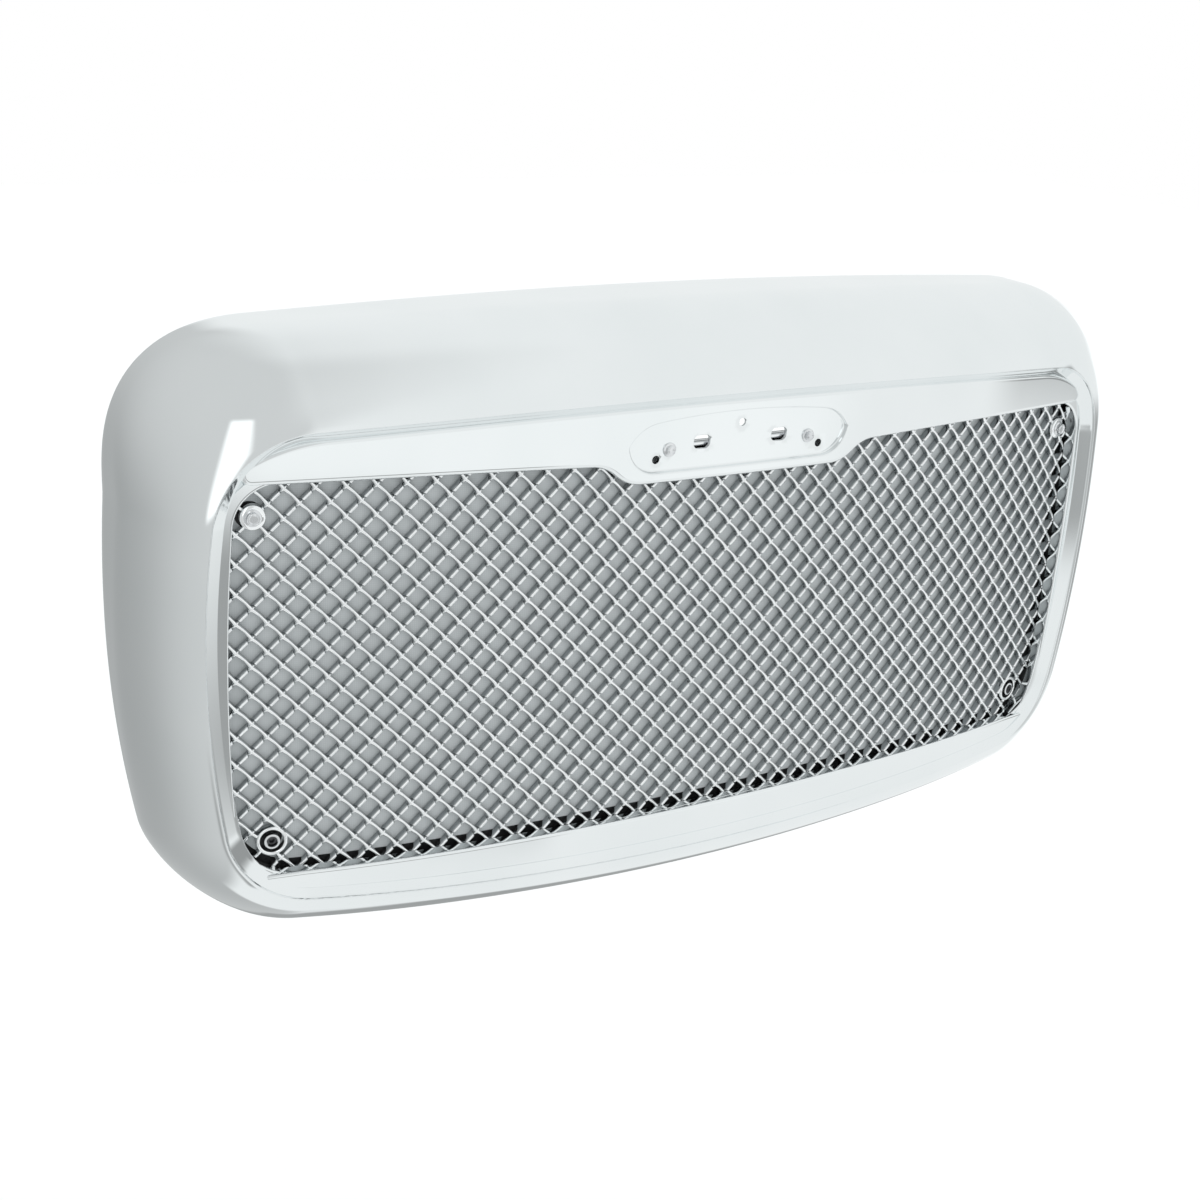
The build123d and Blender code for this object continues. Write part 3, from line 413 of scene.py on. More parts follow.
def corner_round(before, corner, after, radius, steps=4):
    """Replaces a profile corner by a small arc-like blend."""
    before, corner, after = np.array(before), np.array(corner), np.array(after)
    a = corner + (before - corner) / np.linalg.norm(before - corner) * radius
    b = corner + (after - corner) / np.linalg.norm(after - corner) * radius
    blend = []
    for k in range(steps + 1):
        t = k / steps
        blend.append(tuple((1 - t) ** 2 * a + 2 * t * (1 - t) * corner + t**2 * b))
    return blend


def surround_profile(x, nx, nz, z):
    """Closed section of the surround at a station: spread from the crease, y."""
    upper = nz > 0
    spread = 62.5 * nx**2 + (83.0 if upper else 50.5) * nz**2 + (16.0 if upper else -7.5) * (2 * nx * nz) ** 2
    radius = spread / (1 - sin(ROLL_START))
    face = FACE_Y + float(bow(x, CHROME_BOW))
    centre = (spread - radius, face - CREASE_AHEAD + radius * cos(ROLL_START))
    rim = FACE_Y + 130.0 + 0.12 * (z + nz * spread - 20.0) + 0.33 * float(bow(x, MESH_BOW))
    start = ROLL_START - pi / 2
    outer = arc(centre, radius, start, 0, 26)
    inner = arc(centre, radius - WALL, 0, start + WALL / radius, 14)
    foot = (-WALL * sin(ROLL_START), face - CREASE_AHEAD + WALL * cos(ROLL_START))
    width = by_side(20.5, 14.0, 14.0, nx, nz)
    bezel_y = face - by_side(11.0, 6.0, 12.0, nx, nz)
    bezel, back = (-width, bezel_y), (-width, bezel_y + WALL)
    points = corner_round(foot, outer[0], outer[1], 0.9, 5)
    points += outer[1:]
    points += [(spread, centre[1] + (rim - centre[1]) * k / 5) for k in range(1, 5)]
    points += corner_round((spread, rim - 5), (spread, rim), (spread - WALL, rim), 1.2, 3)
    points += corner_round((spread, rim), (spread - WALL, rim), (spread - WALL, rim - 5), 1.2, 3)
    points += [(spread - WALL, centre[1] + (rim - centre[1]) * k / 5) for k in range(4, 0, -1)]
    points += inner
    points += corner_round(inner[-1], back, bezel, 0.8, 2)
    points += corner_round(back, bezel, foot, 1.2, 4)
    points += [tuple((1 - t) * np.array(bezel) + t * np.array(foot)) for t in (0.3, 0.6, 0.85)]
    points += corner_round(bezel, foot, outer[0], 0.7, 3)
    return points


def add_roll(shape):
    crease = closed(crease_half())
    normals = outward(crease)
    rows = []
    for (x, z), (nx, nz) in zip(crease, normals):
        section = surround_profile(x, nx, nz, z)
        rows.append([(x + nx * s, y, z + nz * s) for s, y in section])
    shape.grid(rows, wrap_rows=True)


def add_flange(shape):
    """The rim of the opening, with a gap where the badge recess is."""
    outline = closed(opening_half())
    gap = sum(x < RECESS_HALF_WIDTH and z > 0 for x, z in opening_half())
    profile = [(-12, 7.0), (-12, 10.0), (-3.2, 10.0)]
    for k in range(7):
        a = pi / 2 * k / 6
        profile.append((-2.2 + 2.2 * sin(a), 10.0 - 2.2 * (1 - cos(a))))
    profile += [(0, 4.0), (0, 0.3, MESH_BOW), (-3, 0.3, MESH_BOW), (-3, 7.0), (-12, 7.0)]
    sweep(shape, outline, profile, gap)


def recess_holes(grow):
    """The holes of the badge recess, drawn larger by an amount."""
    holes = [circle_outline(0, 246.0, 4.4 + grow)]
    for side in (1, -1):
        holes.append(circle_outline(side * 110.0, 212.5, 4.4 + grow))
        holes.append(circle_outline(side * 93.5, 222.5, 3.3 + grow))
        holes.append(rounded_slot(side * 52.0, 228.0, 21.0 + 2 * grow, 15.0 + 2 * grow, 6.0 + grow))
    return holes


def add_brow(shape):
    outline = closed(brow_half())
    recess = closed(recess_half())
    sweep(shape, outline, rounded(0, 0.3, 4.6, 12.0, 9))
    cap(shape, shrunk(outline, 5.3), [shrunk(recess, -2.2)], 12.0)
    edge = [(-2.2, 12.0)]
    for k in range(6):
        a = pi / 2 * k / 5
        edge.append((-1.5 * (1 - sin(a)), 12.0 - 1.5 * (1 - cos(a))))
    for k in range(6):
        a = pi / 2 * k / 5
        edge.append((1.5 * (1 - cos(a)), 6.5 + 1.5 * (1 - sin(a))))
    edge.append((2.2, 6.5))
    sweep(shape, recess, edge)
    cap(shape, shrunk(recess, 2.2), recess_holes(0.8), 6.5, 9.0)
    for hole in recess_holes(0.0):
        sweep(shape, hole, [(-0.8, 6.5), (-0.25, 6.35), (0.0, 5.9), (0.0, 4.0)])
    cap(shape, shrunk(recess, -2.5), recess_holes(0.0), 4.0, 12.0)
    sweep(shape, recess, [(-2.5, 4.0), (-2.5, 8.0)])
    cap(shape, shrunk(outline, 4.0), [shrunk(recess, -2.5)], 8.0)
    sweep(shape, outline, [(4.0, 8.0), (4.0, 0.3), (0.0, 0.3)])


def add_sill(shape):
    outline = closed(sill_half())
    sweep(shape, outline, rounded(0, 0.3, 3.0, 15.0, 7))
    cap(shape, shrunk(outline, 3.7), [], 15.0)
    cap(shape, shrunk(outline, 4.0), [], 11.0)
    sweep(shape, outline, [(4.0, 11.0), (4.0, 0.3), (0.0, 0.3)])


def add_bosses(shape):
    """Round bosses with blind pilot holes behind the brow and the sill."""
    for x, strap_front in ((430.0, -3.0), (150.0, -29.2)):
        face = FACE_Y + float(bow(x, CHROME_BOW))
        for level, radius, ahead in ((240.0, 7.0, 9.0), (-232.0, 6.0, 12.0)):
            for side in (1, -1):
                rings = [(radius, face - ahead), (radius, strap_front - 0.4), (radius - 0.4, strap_front)]
                rings += [(2.9, strap_front), (2.6, strap_front - 0.3)]
                rings += [(2.6, strap_front - 14), (0.01, strap_front - 14)]
                rounds = [(circle_outline(x * side, level, r, 28), y) for r, y in rings]
                shape.grid([[(px, y, pz) for px, pz in outline] for outline, y in rounds])


# --- mesh insert ------------------------------------------------------------------------------
def mesh_point(u, z, ahead, aside=(0.0, 0.0)):
    """A point of the bowed mesh: along u, z, ahead of its face."""
    x = across(u + aside[0])
    turn = tilt(x, MESH_BOW)
    return (x + ahead * sin(turn), FACE_Y + float(bow(x, MESH_BOW)) - ahead * cos(turn), z + aside[1])


def bar_rows(points, lifts, widths, direction):
    """Rows of a bar: a round front, straight sides and a flat back."""
    side = (-direction[1], direction[0])
    rows = []
    for (u, z), top, half in zip(points, lifts, widths):
        row = [mesh_point(u, z, -MESH_DEPTH, (side[0] * half * 0.9, side[1] * half * 0.9))]
        row.append(mesh_point(u, z, top - half * 1.1 - 1.3, (side[0] * half * 0.97, side[1] * half * 0.97)))
        row.append(mesh_point(u, z, top - half * 1.1, (side[0] * half, side[1] * half)))
        for k in range(9):
            a = pi * k / 8
            off = half * cos(a)
            crown = top - half * 1.1 * (1 - sin(a))
            row.append(mesh_point(u, z, crown, (side[0] * off, side[1] * off)))
        row.append(mesh_point(u, z, top - half * 1.1, (-side[0] * half, -side[1] * half)))
        row.append(mesh_point(u, z, top - half * 1.1 - 1.3, (-side[0] * half * 0.97, -side[1] * half * 0.97)))
        row.append(mesh_point(u, z, -MESH_DEPTH, (-side[0] * half * 0.9, -side[1] * half * 0.9)))
        rows.append(row)
    return rows


def bar_point(node, line, slope, t):
    """Place, crest height and half width of a bar, a share t of the way from one crossing to the next."""
    row = line - node if slope < 0 else node - line
    place = ((node + t) * HALF_CELL, ROW_LEVEL + (row + slope * t) * HALF_CELL)
    if slope < 0:
        wave = cos(2 * pi * t)
        sway = 0.75 * sin(pi * t)
        return (place[0] + sway, place[1] + sway), -0.3 + 0.3 * wave, 1.95 + 0.25 * wave
    level = min(max((min(t, 1 - t) - 0.15) / 0.10, 0.0), 1.0)
    return place, -4.4 + 4.2 * level * level * (3 - 2 * level), 1.95


def clear_of_corners(points, pad_reach, ring_reach):
    """True where a front-view point is outside the upper pads and the lower rings."""
    x, z = np.abs([p[0] for p in points]), np.array([p[1] for p in points])
    off_pad = np.hypot(x - UPPER_CORNER[0], z - UPPER_CORNER[1]) > pad_reach
    return off_pad & (np.hypot(x - LOWER_CORNER[0], z - LOWER_CORNER[1]) > ring_reach)


def kept_runs(points, keep):
    """Start and end of each unbroken run of points to keep."""
    start = None
    for k in range(len(points) + 1):
        good = k < len(points) and keep[k]
        joined = good and start is not None and abs(points[k][0] - points[k - 1][0]) < 3
        if start is not None and not joined:
            if k - start > 2:
                yield start, k
            start = None
        if good and start is None:
            start = k


def add_mesh_bars(shape):
    """Unbroken beads one way, and beads that sink beside each crossing the other way."""
    field = shrunk(closed(opening_half()), -7.5)
    hidden = shrunk(closed(brow_half()), 10.0)
    for slope in (-1, 1):
        direction = (sqrt(0.5), slope * sqrt(0.5))
        for line in range(-60, 61, 2):
            stations = []
            for node in range(-40, 40):
                row = line - node if slope < 0 else node - line
                if abs(row) <= MESH_ROWS or abs(row + slope) <= MESH_ROWS:
                    stations += [bar_point(node, line, slope, k / BAR_STEPS) for k in range(BAR_STEPS)]
            if not stations:
                continue
            points, lifts, widths = zip(*stations)
            flat = [(across(u), z) for u, z in points]
            keep = inside(flat, field) & ~inside(flat, hidden) & clear_of_corners(flat, 11.5, 15.0)
            for start, end in kept_runs(points, keep):
                run = slice(start, end)
                rows = bar_rows(points[run], lifts[run], widths[run], direction)
                shape.grid(rows, wrap_columns=False)


def add_mesh_nodes(shape):
    """A small star-shaped swelling on each crossing."""
    field = shrunk(closed(opening_half()), -4.0)
    hidden = shrunk(closed(brow_half()), 8.0)
    spots = []
    for column in range(-38, 39):
        for row in range(-15, 16):
            if (column + row) % 2 == 0:
                spots.append((column * HALF_CELL, ROW_LEVEL + row * HALF_CELL))
    flat = [(across(u), z) for u, z in spots]
    keep = inside(flat, field) & ~inside(flat, hidden) & clear_of_corners(flat, 14.0, 17.0)
    turns = [2 * pi * k / 24 for k in range(24)]
    for (u, z), good in zip(spots, keep):
        if not good:
            continue
        rows = []
        for share, drop in ((1.0, -2.2), (0.86, -1.1), (0.6, -0.35), (0.3, -0.06), (0.02, 0.0)):
            reaches = [share * (2.5 + 2.1 * abs(cos(2 * (turn - pi / 4))) ** 3) for turn in turns]
            rows.append([mesh_point(u, z, drop, (reach * cos(turn), reach * sin(turn)))
                         for reach, turn in zip(reaches, turns)])
        shape.grid(rows)


def add_mesh_border(shape):
    """The edge bar of the insert, the pads under the upper bolts and the lower rings."""
    outline = closed(opening_half())
    profile = [(-9, -MESH_DEPTH, MESH_BOW), (-9, -0.8, MESH_BOW), (-8.2, 0, MESH_BOW), (-4.8, 0, MESH_BOW)]
    profile += [(-4.0, -0.8, MESH_BOW), (-4.0, -MESH_DEPTH, MESH_BOW), (-9, -MESH_DEPTH, MESH_BOW)]
    sweep(shape, outline, profile)
    pad = [(12.6, -11), (13.0, -10.6), (13.0, 1.2), (12.2, 2.0), (5.0, 2.0), (4.3, 1.4), (4.3, -11)]
    ring = [(16.5, -MESH_DEPTH), (16.5, -0.8), (15.8, 0), (14.0, 0), (13.0, -0.8)]
    ring += [(13.0, -MESH_DEPTH), (16.5, -MESH_DEPTH)]
    for (upper_x, upper_z), (lower_x, lower_z) in zip(both_sides(UPPER_CORNER), both_sides(LOWER_CORNER)):
        add_round(shape, upper_x, upper_z, pad)
        add_round(shape, lower_x, lower_z, ring)


# --- small round pieces, each along the axis that looks out of the mesh face -----------------------
def axis_frame(x, z):
    """Origin on the mesh face, and the right, up and front directions there."""
    turn = tilt(x, MESH_BOW)
    origin = Vector((x, FACE_Y + float(bow(x, MESH_BOW)), z))
    return origin, Vector((cos(turn), sin(turn), 0)), Vector((0, 0, 1)), Vector((sin(turn), -cos(turn), 0))


def add_round(shape, x, z, rings, count=40):
    """A turned shape from radii and heights ahead of the mesh face."""
    origin, right, up, front = axis_frame(x, z)
    rows = []
    for radius, ahead in rings:
        rows.append([tuple(origin + front * ahead + right * radius * cos(2 * pi * k / count)
                           + up * radius * sin(2 * pi * k / count)) for k in range(count)])
    shape.grid(rows)


def hexagon(flats, count=8, soft=0.10):
    """Radius of a softened hexagon at evenly spaced angles, count per side."""
    radii = []
    for k in range(6 * count):
        a = (k / count) % 1 * pi / 3 - pi / 6
        radii.append(flats / 2 / cos(a) * (1 - soft * (abs(a) / (pi / 6)) ** 6))
    return radii


def add_hex(shape, x, z, flats, low, high, bevel, dish):
    """A hex head between two heights, chamfered round, with a dished top."""
    origin, right, up, front = axis_frame(x, z)
    radii = hexagon(flats)
    turns = [2 * pi * k / len(radii) + HEX_TURN for k in range(len(radii))]

    def ring(reaches, heights):
        return [tuple(origin + front * height + right * reach * cos(turn) + up * reach * sin(turn))
                for reach, height, turn in zip(reaches, heights, turns)]

    def round_ring(limit, ahead):
        """A ring no wider than the limit; where it cuts a corner it drops, as a chamfer does."""
        return ring([min(radius, limit) for radius in radii],
                    [ahead - max(0.0, radius - limit) * 0.6 for radius in radii])

    rows = []
    for share, ahead in ((1.0, low), (1.0, high - bevel), (0.97, high - bevel * 0.4)):
        rows.append(ring([share * radius for radius in radii], [ahead] * len(radii)))
    rows.append(round_ring(flats * 0.465, high))
    rows.append(round_ring(flats * 0.42, high))
    for reach, ahead in ((flats * 0.36, high - dish * 0.3), (flats * 0.28, high - dish), (0.05, high - dish)):
        rows.append(ring([reach] * len(radii), [ahead] * len(radii)))
    shape.grid(rows)


def both_sides(point):
    return (point[0], point[1]), (-point[0], point[1])


def add_upper_bolts(shape):
    flange = [(0.05, 2.0), (8.6, 2.0), (9.0, 2.3), (9.0, 2.9), (8.5, 3.4), (6.4, 3.9), (6.0, 4.1)]
    for x, z in both_sides(UPPER_CORNER):
        add_round(shape, x, z, flange)
        add_hex(shape, x, z, 13.0, 3.0, 8.4, 1.0, dish=1.0)
        add_round(shape, x, z, [(4.0, 2.0), (4.0, -24.2), (3.4, -24.9), (0.05, -24.9)])


def add_badge_bolts(shape):
    flange = [(0.05, 6.5), (7.7, 6.5), (8.0, 6.8), (8.0, 7.3), (7.6, 7.8), (5.2, 8.2)]
    for x, z in both_sides(BADGE_BOLT):
        add_round(shape, x, z, flange)
        add_hex(shape, x, z, 10.0, 7.4, 11.9, 0.8, dish=0.6)
        add_round(shape, x, z, [(3.0, 6.5), (3.0, -3.9), (2.4, -4.5), (0.05, -4.5)])


# --- materials --------------------------------------------------------------------------------
def new_material(name, colour, metallic, roughness):
    material = bpy.data.materials.new(name)
    material.use_nodes = True
    shader = material.node_tree.nodes["Principled BSDF"]
    shader.inputs["Base Color"].default_value = (*colour, 1)
    shader.inputs["Metallic"].default_value = metallic
    shader.inputs["Roughness"].default_value = roughness
    return material


def nodes_of(material):
    tree = material.node_tree
    return tree, tree.nodes, tree.links, tree.nodes["Principled BSDF"]


def object_noise(material, scale, detail=3.0, stretch=(1, 1, 1)):
    """Noise in object space and its factor socket."""
    tree, nodes, links, _ = nodes_of(material)
    place = nodes.new("ShaderNodeTexCoord")
    mapping = nodes.new("ShaderNodeMapping")
    mapping.inputs["Scale"].default_value = stretch
    noise = nodes.new("ShaderNodeTexNoise")
    noise.inputs["Scale"].default_value = scale
    noise.inputs["Detail"].default_value = detail
    links.new(place.outputs["Object"], mapping.inputs["Vector"])
    links.new(mapping.outputs["Vector"], noise.inputs["Vector"])
    return noise.outputs["Fac"]


def ranged(material, value, low, high, start=0.35, end=0.65):
    """A factor mapped to a range."""
    tree, nodes, links, _ = nodes_of(material)
    spread = nodes.new("ShaderNodeMapRange")
    spread.inputs["From Min"].default_value = start
    spread.inputs["From Max"].default_value = end
    spread.inputs["To Min"].default_value = low
    spread.inputs["To Max"].default_value = high
    links.new(value, spread.inputs["Value"])
    return spread.outputs["Result"]


def mixed(material, value, first, second):
    """A colour mixed by a factor."""
    tree, nodes, links, _ = nodes_of(material)
    mix = nodes.new("ShaderNodeMix")
    mix.data_type = "RGBA"
    mix.inputs["A"].default_value = (*first, 1)
    mix.inputs["B"].default_value = (*second, 1)
    links.new(value, mix.inputs["Factor"])
    return mix.outputs["Result"]


def bumped(material, value, strength, distance):
    tree, nodes, links, shader = nodes_of(material)
    bump = nodes.new("ShaderNodeBump")
    bump.inputs["Strength"].default_value = strength
    bump.inputs["Distance"].default_value = distance
    links.new(value, bump.inputs["Height"])
    links.new(bump.outputs["Normal"], shader.inputs["Normal"])


def varied(material, first, second, scale, rough, stretch=(1, 1, 1), bump=0.0, distance=0.0002):
    """Colour, roughness and a little relief that vary over a piece."""
    tree, nodes, links, shader = nodes_of(material)
    noise = object_noise(material, scale, stretch=stretch)
    links.new(ranged(material, noise, *rough), shader.inputs["Roughness"])
    links.new(mixed(material, ranged(material, noise, 0, 1), first, second), shader.inputs["Base Color"])
    if bump:
        bumped(material, noise, bump, distance)
    return material


def chrome(name, first, second, rough_low, rough_high):
    material = new_material(name, first, 1.0, rough_low)
    tree, nodes, links, shader = nodes_of(material)
    noise = object_noise(material, 6.0)
    links.new(ranged(material, noise, rough_low, rough_high), shader.inputs["Roughness"])
    links.new(mixed(material, ranged(material, noise, 0, 1), first, second), shader.inputs["Base Color"])
    grain = object_noise(material, 900.0, 1.0)
    bumped(material, grain, 0.012, 0.0001)
    return material


def metal(name, first, second, scale, rough, **relief):
    return varied(new_material(name, first, 1.0, rough[0]), first, second, scale, rough, **relief)


def dull(name, first, second, scale, rough, **relief):
    return varied(new_material(name, first, 0.0, rough[0]), first, second, scale, rough, **relief)


def woven():
    """Fine grey woven wire."""
    material = new_material("screen_weave", (0.5, 0.52, 0.53), 0.0, 0.6)
    tree, nodes, links, shader = nodes_of(material)
    place = nodes.new("ShaderNodeTexCoord")
    waves = []
    for axis in ("X", "Z"):
        wave = nodes.new("ShaderNodeTexWave")
        wave.wave_type = "BANDS"
        wave.bands_direction = axis
        wave.inputs["Scale"].default_value = 140.0
        wave.inputs["Distortion"].default_value = 0.0
        links.new(place.outputs["Object"], wave.inputs["Vector"])
        waves.append(wave.outputs["Fac"])
    weave = nodes.new("ShaderNodeMath")
    weave.operation = "MULTIPLY"
    links.new(waves[0], weave.inputs[0])
    links.new(waves[1], weave.inputs[1])
    colour = mixed(material, weave.outputs["Value"], (0.60, 0.63, 0.64), (0.70, 0.725, 0.735))
    links.new(colour, shader.inputs["Base Color"])
    bumped(material, weave.outputs["Value"], 0.15, 0.0004)
    return material


CHROME = chrome("chrome_plate", (0.90, 0.92, 0.925), (0.87, 0.895, 0.90), 0.035, 0.06)
CHROME_MESH = chrome("chrome_mesh", (0.97, 0.98, 0.985), (0.93, 0.945, 0.95), 0.07, 0.11)
BRIGHT = metal("bright_fastener", (0.84, 0.85, 0.86), (0.74, 0.75, 0.77), 60, (0.14, 0.26))
SLEEVE = metal("chrome_sleeve", (0.86, 0.87, 0.88), (0.8, 0.81, 0.82), 60, (0.09, 0.18))
DARK = metal("dark_screw", (0.12, 0.12, 0.125), (0.07, 0.07, 0.075), 80, (0.3, 0.45))
ZINC = metal("zinc_plate", (0.60, 0.61, 0.63), (0.46, 0.47, 0.50), 35, (0.28, 0.46))
RIVET = metal("rivet_metal", (0.55, 0.56, 0.58), (0.45, 0.46, 0.48), 90, (0.25, 0.4))
STRAP = metal("strap_steel", (0.52, 0.53, 0.55), (0.40, 0.41, 0.43), 14, (0.32, 0.5),
              stretch=(9, 9, 1), bump=0.05)
BLACK = dull("black_coating", (0.014, 0.014, 0.015), (0.008, 0.008, 0.009), 220, (0.45, 0.65), bump=0.12)
RUBBER = dull("pad_rubber", (0.024, 0.024, 0.026), (0.014, 0.014, 0.016), 150, (0.7, 0.9), bump=0.3)
FOAM = dull("seal_foam", (0.04, 0.04, 0.042), (0.018, 0.018, 0.02), 500, (0.9, 1.0),
            bump=0.6, distance=0.0006)
SCREEN = woven()


def paint_shade_on_webs(material):
    """Paints shade on the deep sides of the mesh bars: behind the crests their colour turns to a dull grey, a
    painted shade that darkens the webs.
    """
    tree, nodes, links, shader = nodes_of(material)
    depth = nodes.new("ShaderNodeAttribute")
    depth.attribute_name = "web_shade_mask"
    bright = shader.inputs["Base Color"].links[0].from_socket
    mix = nodes.new("ShaderNodeMix")
    mix.data_type = "RGBA"
    # painted shade: the grey the deep sides take in place of the bright plating
    mix.inputs["B"].default_value = (0.42, 0.44, 0.45, 1)
    links.new(depth.outputs["Fac"], mix.inputs["Factor"])
    links.new(bright, mix.inputs["A"])
    links.new(mix.outputs["Result"], shader.inputs["Base Color"])
    return material


# paints shade on the deep sides of the mesh bars
paint_shade_on_webs(CHROME_MESH)

NODE_MATERIALS = {
    "surround_shell": CHROME,
    "mesh_insert": CHROME_MESH,
    "bug_screen": SCREEN,
    "screen_frame": BLACK,
    "screen_rivets": RIVET,
    "upper_corner_bolts": BRIGHT,
    "lower_boss_sleeves": SLEEVE,
    "lower_corner_screws": DARK,
    "badge_bolts": BRIGHT,
    "outer_strap_pads": RUBBER,
    "inner_strap_pads": RUBBER,
    "rim_seal": FOAM,
}
for name in ("corner_washers", "corner_nuts", "badge_backing_plate", "badge_nuts"):
    NODE_MATERIALS[name] = ZINC
for name in ("strap_washers", "strap_screws", "mounting_studs"):
    NODE_MATERIALS[name] = ZINC
for name in ("strap_outer_left", "strap_outer_right", "strap_inner_left", "strap_inner_right"):
    NODE_MATERIALS[name] = STRAP
for node_name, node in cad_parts.items():
    node.data.materials.clear()
    node.data.materials.append(NODE_MATERIALS[node_name])


# --- detailed pieces ----------------------------------------------------------------------------
def stand_for(shape, name, material, node, angle=32.0):
    piece = shape.build(name, material, angle)
    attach(piece, "root")
    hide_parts(node)
    return piece


def mark_depth(piece):
    """Stores 0 on the crests of the mesh and 1 on its deep sides, the mask for the painted shade on the webs.
    """
    points = np.empty(len(piece.data.vertices) * 3)
    piece.data.vertices.foreach_get("co", points)
    x, y = points[0::3] / MM, points[1::3] / MM
    behind = y - FACE_Y - np.array([float(bow(value, MESH_BOW)) for value in x])
    depth = piece.data.attributes.new("web_shade_mask", "FLOAT", "POINT")
    depth.data.foreach_set("value", np.clip((behind - 1.7) / 1.6, 0, 1))


surround = Shape()
add_roll(surround)
add_flange(surround)
add_brow(surround)
add_sill(surround)
add_bosses(surround)
stand_for(surround, "chrome_surround", CHROME, "surround_shell")

insert = Shape()
add_mesh_bars(insert)
add_mesh_nodes(insert)
add_mesh_border(insert)
# the mesh gets the mask for its painted web shade
mark_depth(stand_for(insert, "diamond_mesh", CHROME_MESH, "mesh_insert", 50.0))

upper_bolts = Shape()
add_upper_bolts(upper_bolts)
stand_for(upper_bolts, "upper_bolts", BRIGHT, "upper_corner_bolts")

badge_bolts = Shape()
add_badge_bolts(badge_bolts)
stand_for(badge_bolts, "badge_plate_bolts", BRIGHT, "badge_bolts")


# --- floor and light ----------------------------------------------------------------------------
def make_floor():
    """A plain pale floor, well below the grille, that the chrome doesn't mirror."""
    mesh = bpy.data.meshes.new("floor")
    reach, level = 14.0, -1.6
    corners = [(x * reach, y * reach, level) for x, y in ((-1, -1), (1, -1), (1, 1), (-1, 1))]
    mesh.from_pydata(corners, [], [(0, 1, 2, 3)])
    material = new_material("floor_pale", (0.96, 0.965, 0.965), 0.0, 0.9)
    mesh.materials.append(material)
    floor = bpy.data.objects.new("floor", mesh)
    bpy.context.scene.collection.objects.link(floor)
    floor.visible_glossy = False


def make_softbox():
    """A very wide soft light overhead that fills the floor and the bug screen."""
    light = bpy.data.lights.new("softbox", "SUN")
    light.energy = 1.05
    light.angle = radians(150.0)
    thing = bpy.data.objects.new("softbox", light)
    thing.location = (0.0, 0.0, 4.2)
    thing.visible_glossy = False
    bpy.context.scene.collection.objects.link(thing)


class Sky:
    """Builds the brightness of the studio round the grille from soft masks in azimuth and elevation."""

    def __init__(self, tree):
        self.nodes, self.links = tree.nodes, tree.links
        place = self.nodes.new("ShaderNodeTexCoord")
        normal = self.nodes.new("ShaderNodeVectorMath")
        normal.operation = "NORMALIZE"
        self.links.new(place.outputs["Generated"], normal.inputs[0])
        self.direction = normal.outputs["Vector"]
        parts = self.nodes.new("ShaderNodeSeparateXYZ")
        self.links.new(self.direction, parts.inputs[0])
        self.x, y, z = parts.outputs[0], parts.outputs[1], parts.outputs[2]
        self.front = self.math("MULTIPLY", y, -1.0)
        self.z = z
        turn = 180.0 / pi
        self.azimuth = self.math("MULTIPLY", self.math("ARCTAN2", self.x, self.front), turn)
        self.elevation = self.math("MULTIPLY", self.math("ARCSINE", z), turn)

    def math(self, operation, first, second=None, third=None):
        node = self.nodes.new("ShaderNodeMath")
        node.operation = operation
        for socket, value in zip(node.inputs, (first, second, third)):
            if value is None:
                continue
            if isinstance(value, (int, float)):
                socket.default_value = value
            else:
                self.links.new(value, socket)
        return node.outputs["Value"]

    def rise(self, value, low, high):
        """0 below low, 1 above high, smooth between."""
        node = self.nodes.new("ShaderNodeMapRange")
        node.interpolation_type = "SMOOTHSTEP"
        node.inputs["From Min"].default_value = low
        node.inputs["From Max"].default_value = high
        self.links.new(value, node.inputs["Value"])
        return node.outputs["Result"]

    def lobe(self, azimuth, elevation, sharpness):
        """1 in a direction, falling off round it."""
        a, e = radians(azimuth), radians(elevation)
        node = self.nodes.new("ShaderNodeVectorMath")
        node.operation = "DOT_PRODUCT"
        self.links.new(self.direction, node.inputs[0])
        node.inputs[1].default_value = (cos(e) * sin(a), -cos(e) * cos(a), sin(e))
        return self.math("EXPONENT", self.math("MULTIPLY_ADD", node.outputs["Value"], sharpness, -sharpness))

    def panel(self, left, right, low, high, soft, lean=0.0):
        """1 inside a panel given in degrees; lean moves it sideways with elevation."""
        azimuth = self.math("MULTIPLY_ADD", self.elevation, -lean, self.azimuth) if lean else self.azimuth
        mask = self.math("MULTIPLY", self.rise(azimuth, left - soft, left + soft),
                         self.rise(self.elevation, low - soft, low + soft))
        side = self.math("SUBTRACT", 1.0, self.rise(azimuth, right - soft, right + soft))
        top = self.math("SUBTRACT", 1.0, self.rise(self.elevation, high - soft, high + soft))
        return self.math("MULTIPLY", mask, self.math("MULTIPLY", side, top))

    def blend(self, under, mask, over):
        """under where the mask is 0, over where it is 1."""
        gap = self.math("SUBTRACT", over, under)
        return self.math("MULTIPLY_ADD", gap, mask, under)


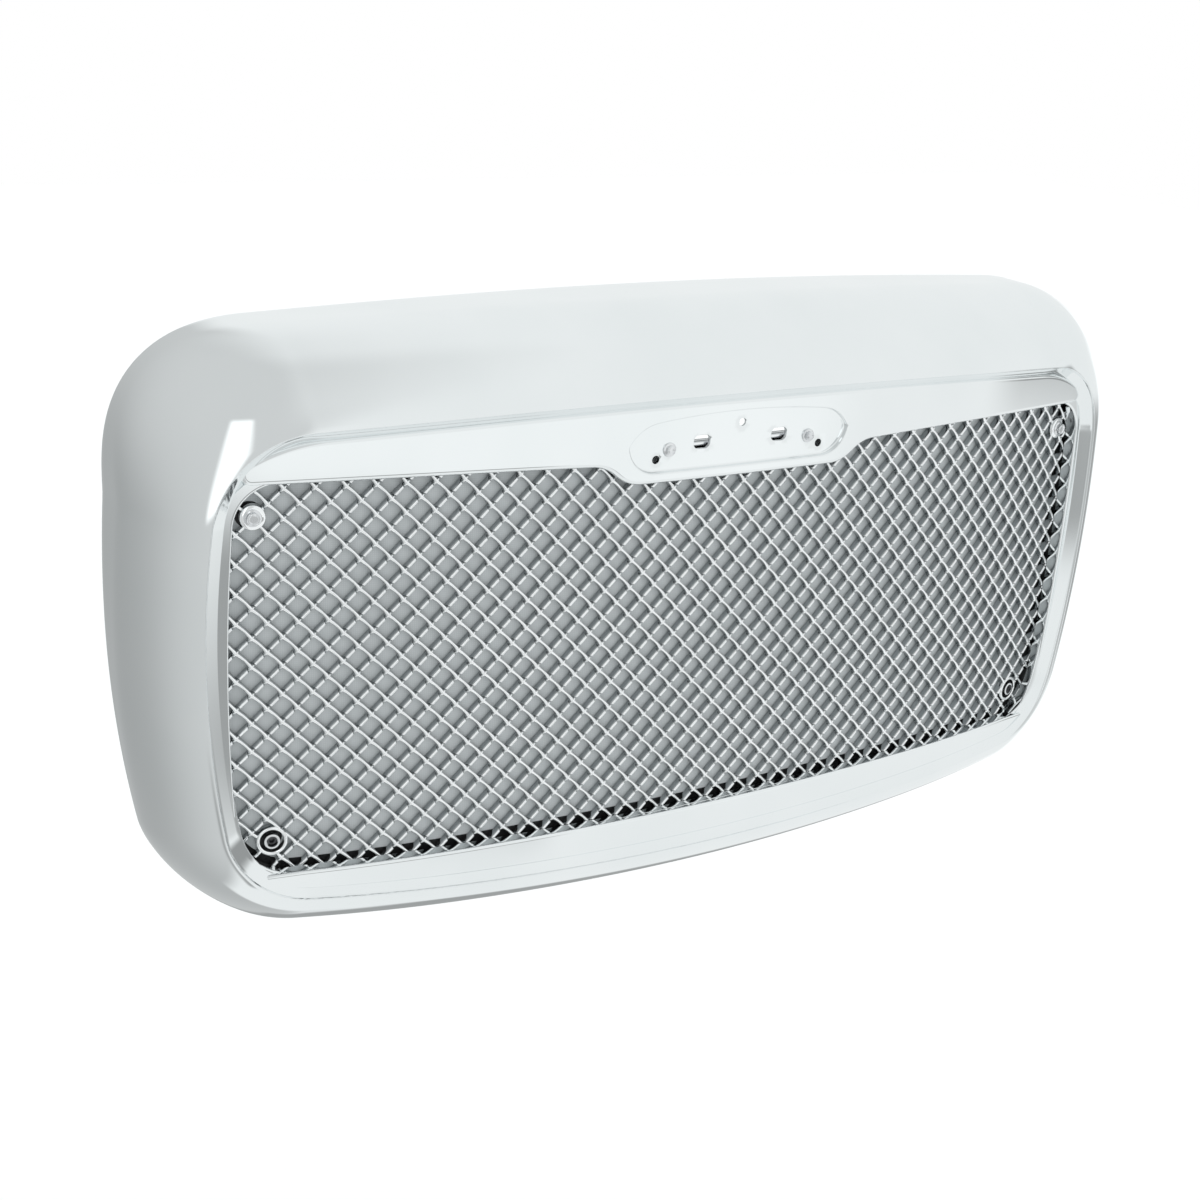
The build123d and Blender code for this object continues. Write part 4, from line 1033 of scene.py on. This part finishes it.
# panels: left, right, low, high, softness, lean, brightness
PANELS = (
    (-2.0, 44.0, -22.0, -11.5, 3.0, 0.0, 0.99),
    (129.0, 168.0, -66.0, -28.0, 4.0, 0.0, 0.38),
    (-36.0, -22.5, -12.0, 40.0, 2.0, -0.14, 1.25),
    (-7.0, 25.0, -27.0, -18.0, 1.6, 0.0, 0.38),
    (72.0, 112.0, -22.0, -9.0, 3.0, 0.0, 0.40),
    (59.0, 78.0, -12.0, 8.0, 3.0, 0.0, 0.34),
    (106.0, 128.0, -32.0, 1.0, 4.0, 0.0, 1.15),
    (-14.0, -6.0, -23.0, -15.0, 2.0, 0.0, 0.42),
    (-31.5, -26.0, -58.0, -29.0, 2.5, 0.0, 0.40),
)


def make_world():
    world = bpy.data.worlds.new("studio")
    bpy.context.scene.world = world
    world.use_nodes = True
    nodes, links = world.node_tree.nodes, world.node_tree.links
    nodes.clear()
    sky = Sky(world.node_tree)
    shade = sky.math("MULTIPLY_ADD", sky.lobe(-155.0, -16.0, 4.0), -0.22, 0.68)
    shade = sky.math("MULTIPLY_ADD", sky.lobe(-100.0, -26.0, 4.0), -0.17, shade)
    shade = sky.math("MULTIPLY_ADD", sky.lobe(-60.0, -78.0, 6.0), -0.12, shade)
    lean = sky.math("MULTIPLY_ADD", sky.z, -0.35, sky.math("MULTIPLY", sky.front, 0.15))
    slant = sky.math("ADD", sky.x, sky.blend(-0.22, sky.rise(sky.front, -0.25, 0.15), lean))
    edge = sky.blend(sky.rise(slant, -0.10, 0.05), sky.rise(sky.z, 0.45, 0.85), sky.rise(slant, -0.34, 0.20))
    total = sky.blend(shade, edge, 0.91)
    for left, right, low, high, soft, lean, brightness in PANELS:
        total = sky.blend(total, sky.panel(left, right, low, high, soft, lean), brightness)
    tint = nodes.new("ShaderNodeCombineColor")
    for channel, share in (("Red", 0.972), ("Green", 0.998), ("Blue", 1.0)):
        links.new(sky.math("MULTIPLY", total, share), tint.inputs[channel])
    lit = nodes.new("ShaderNodeBackground")
    links.new(tint.outputs["Color"], lit.inputs["Color"])
    plain = nodes.new("ShaderNodeBackground")
    plain.inputs["Color"].default_value = (1, 1, 1, 1)
    path = nodes.new("ShaderNodeLightPath")
    mix = nodes.new("ShaderNodeMixShader")
    links.new(path.outputs["Is Camera Ray"], mix.inputs["Fac"])
    links.new(lit.outputs["Background"], mix.inputs[1])
    links.new(plain.outputs["Background"], mix.inputs[2])
    out = nodes.new("ShaderNodeOutputWorld")
    links.new(mix.outputs["Shader"], out.inputs["Surface"])


make_floor()
make_softbox()
make_world()
bpy.context.scene.view_settings.view_transform = "Standard"
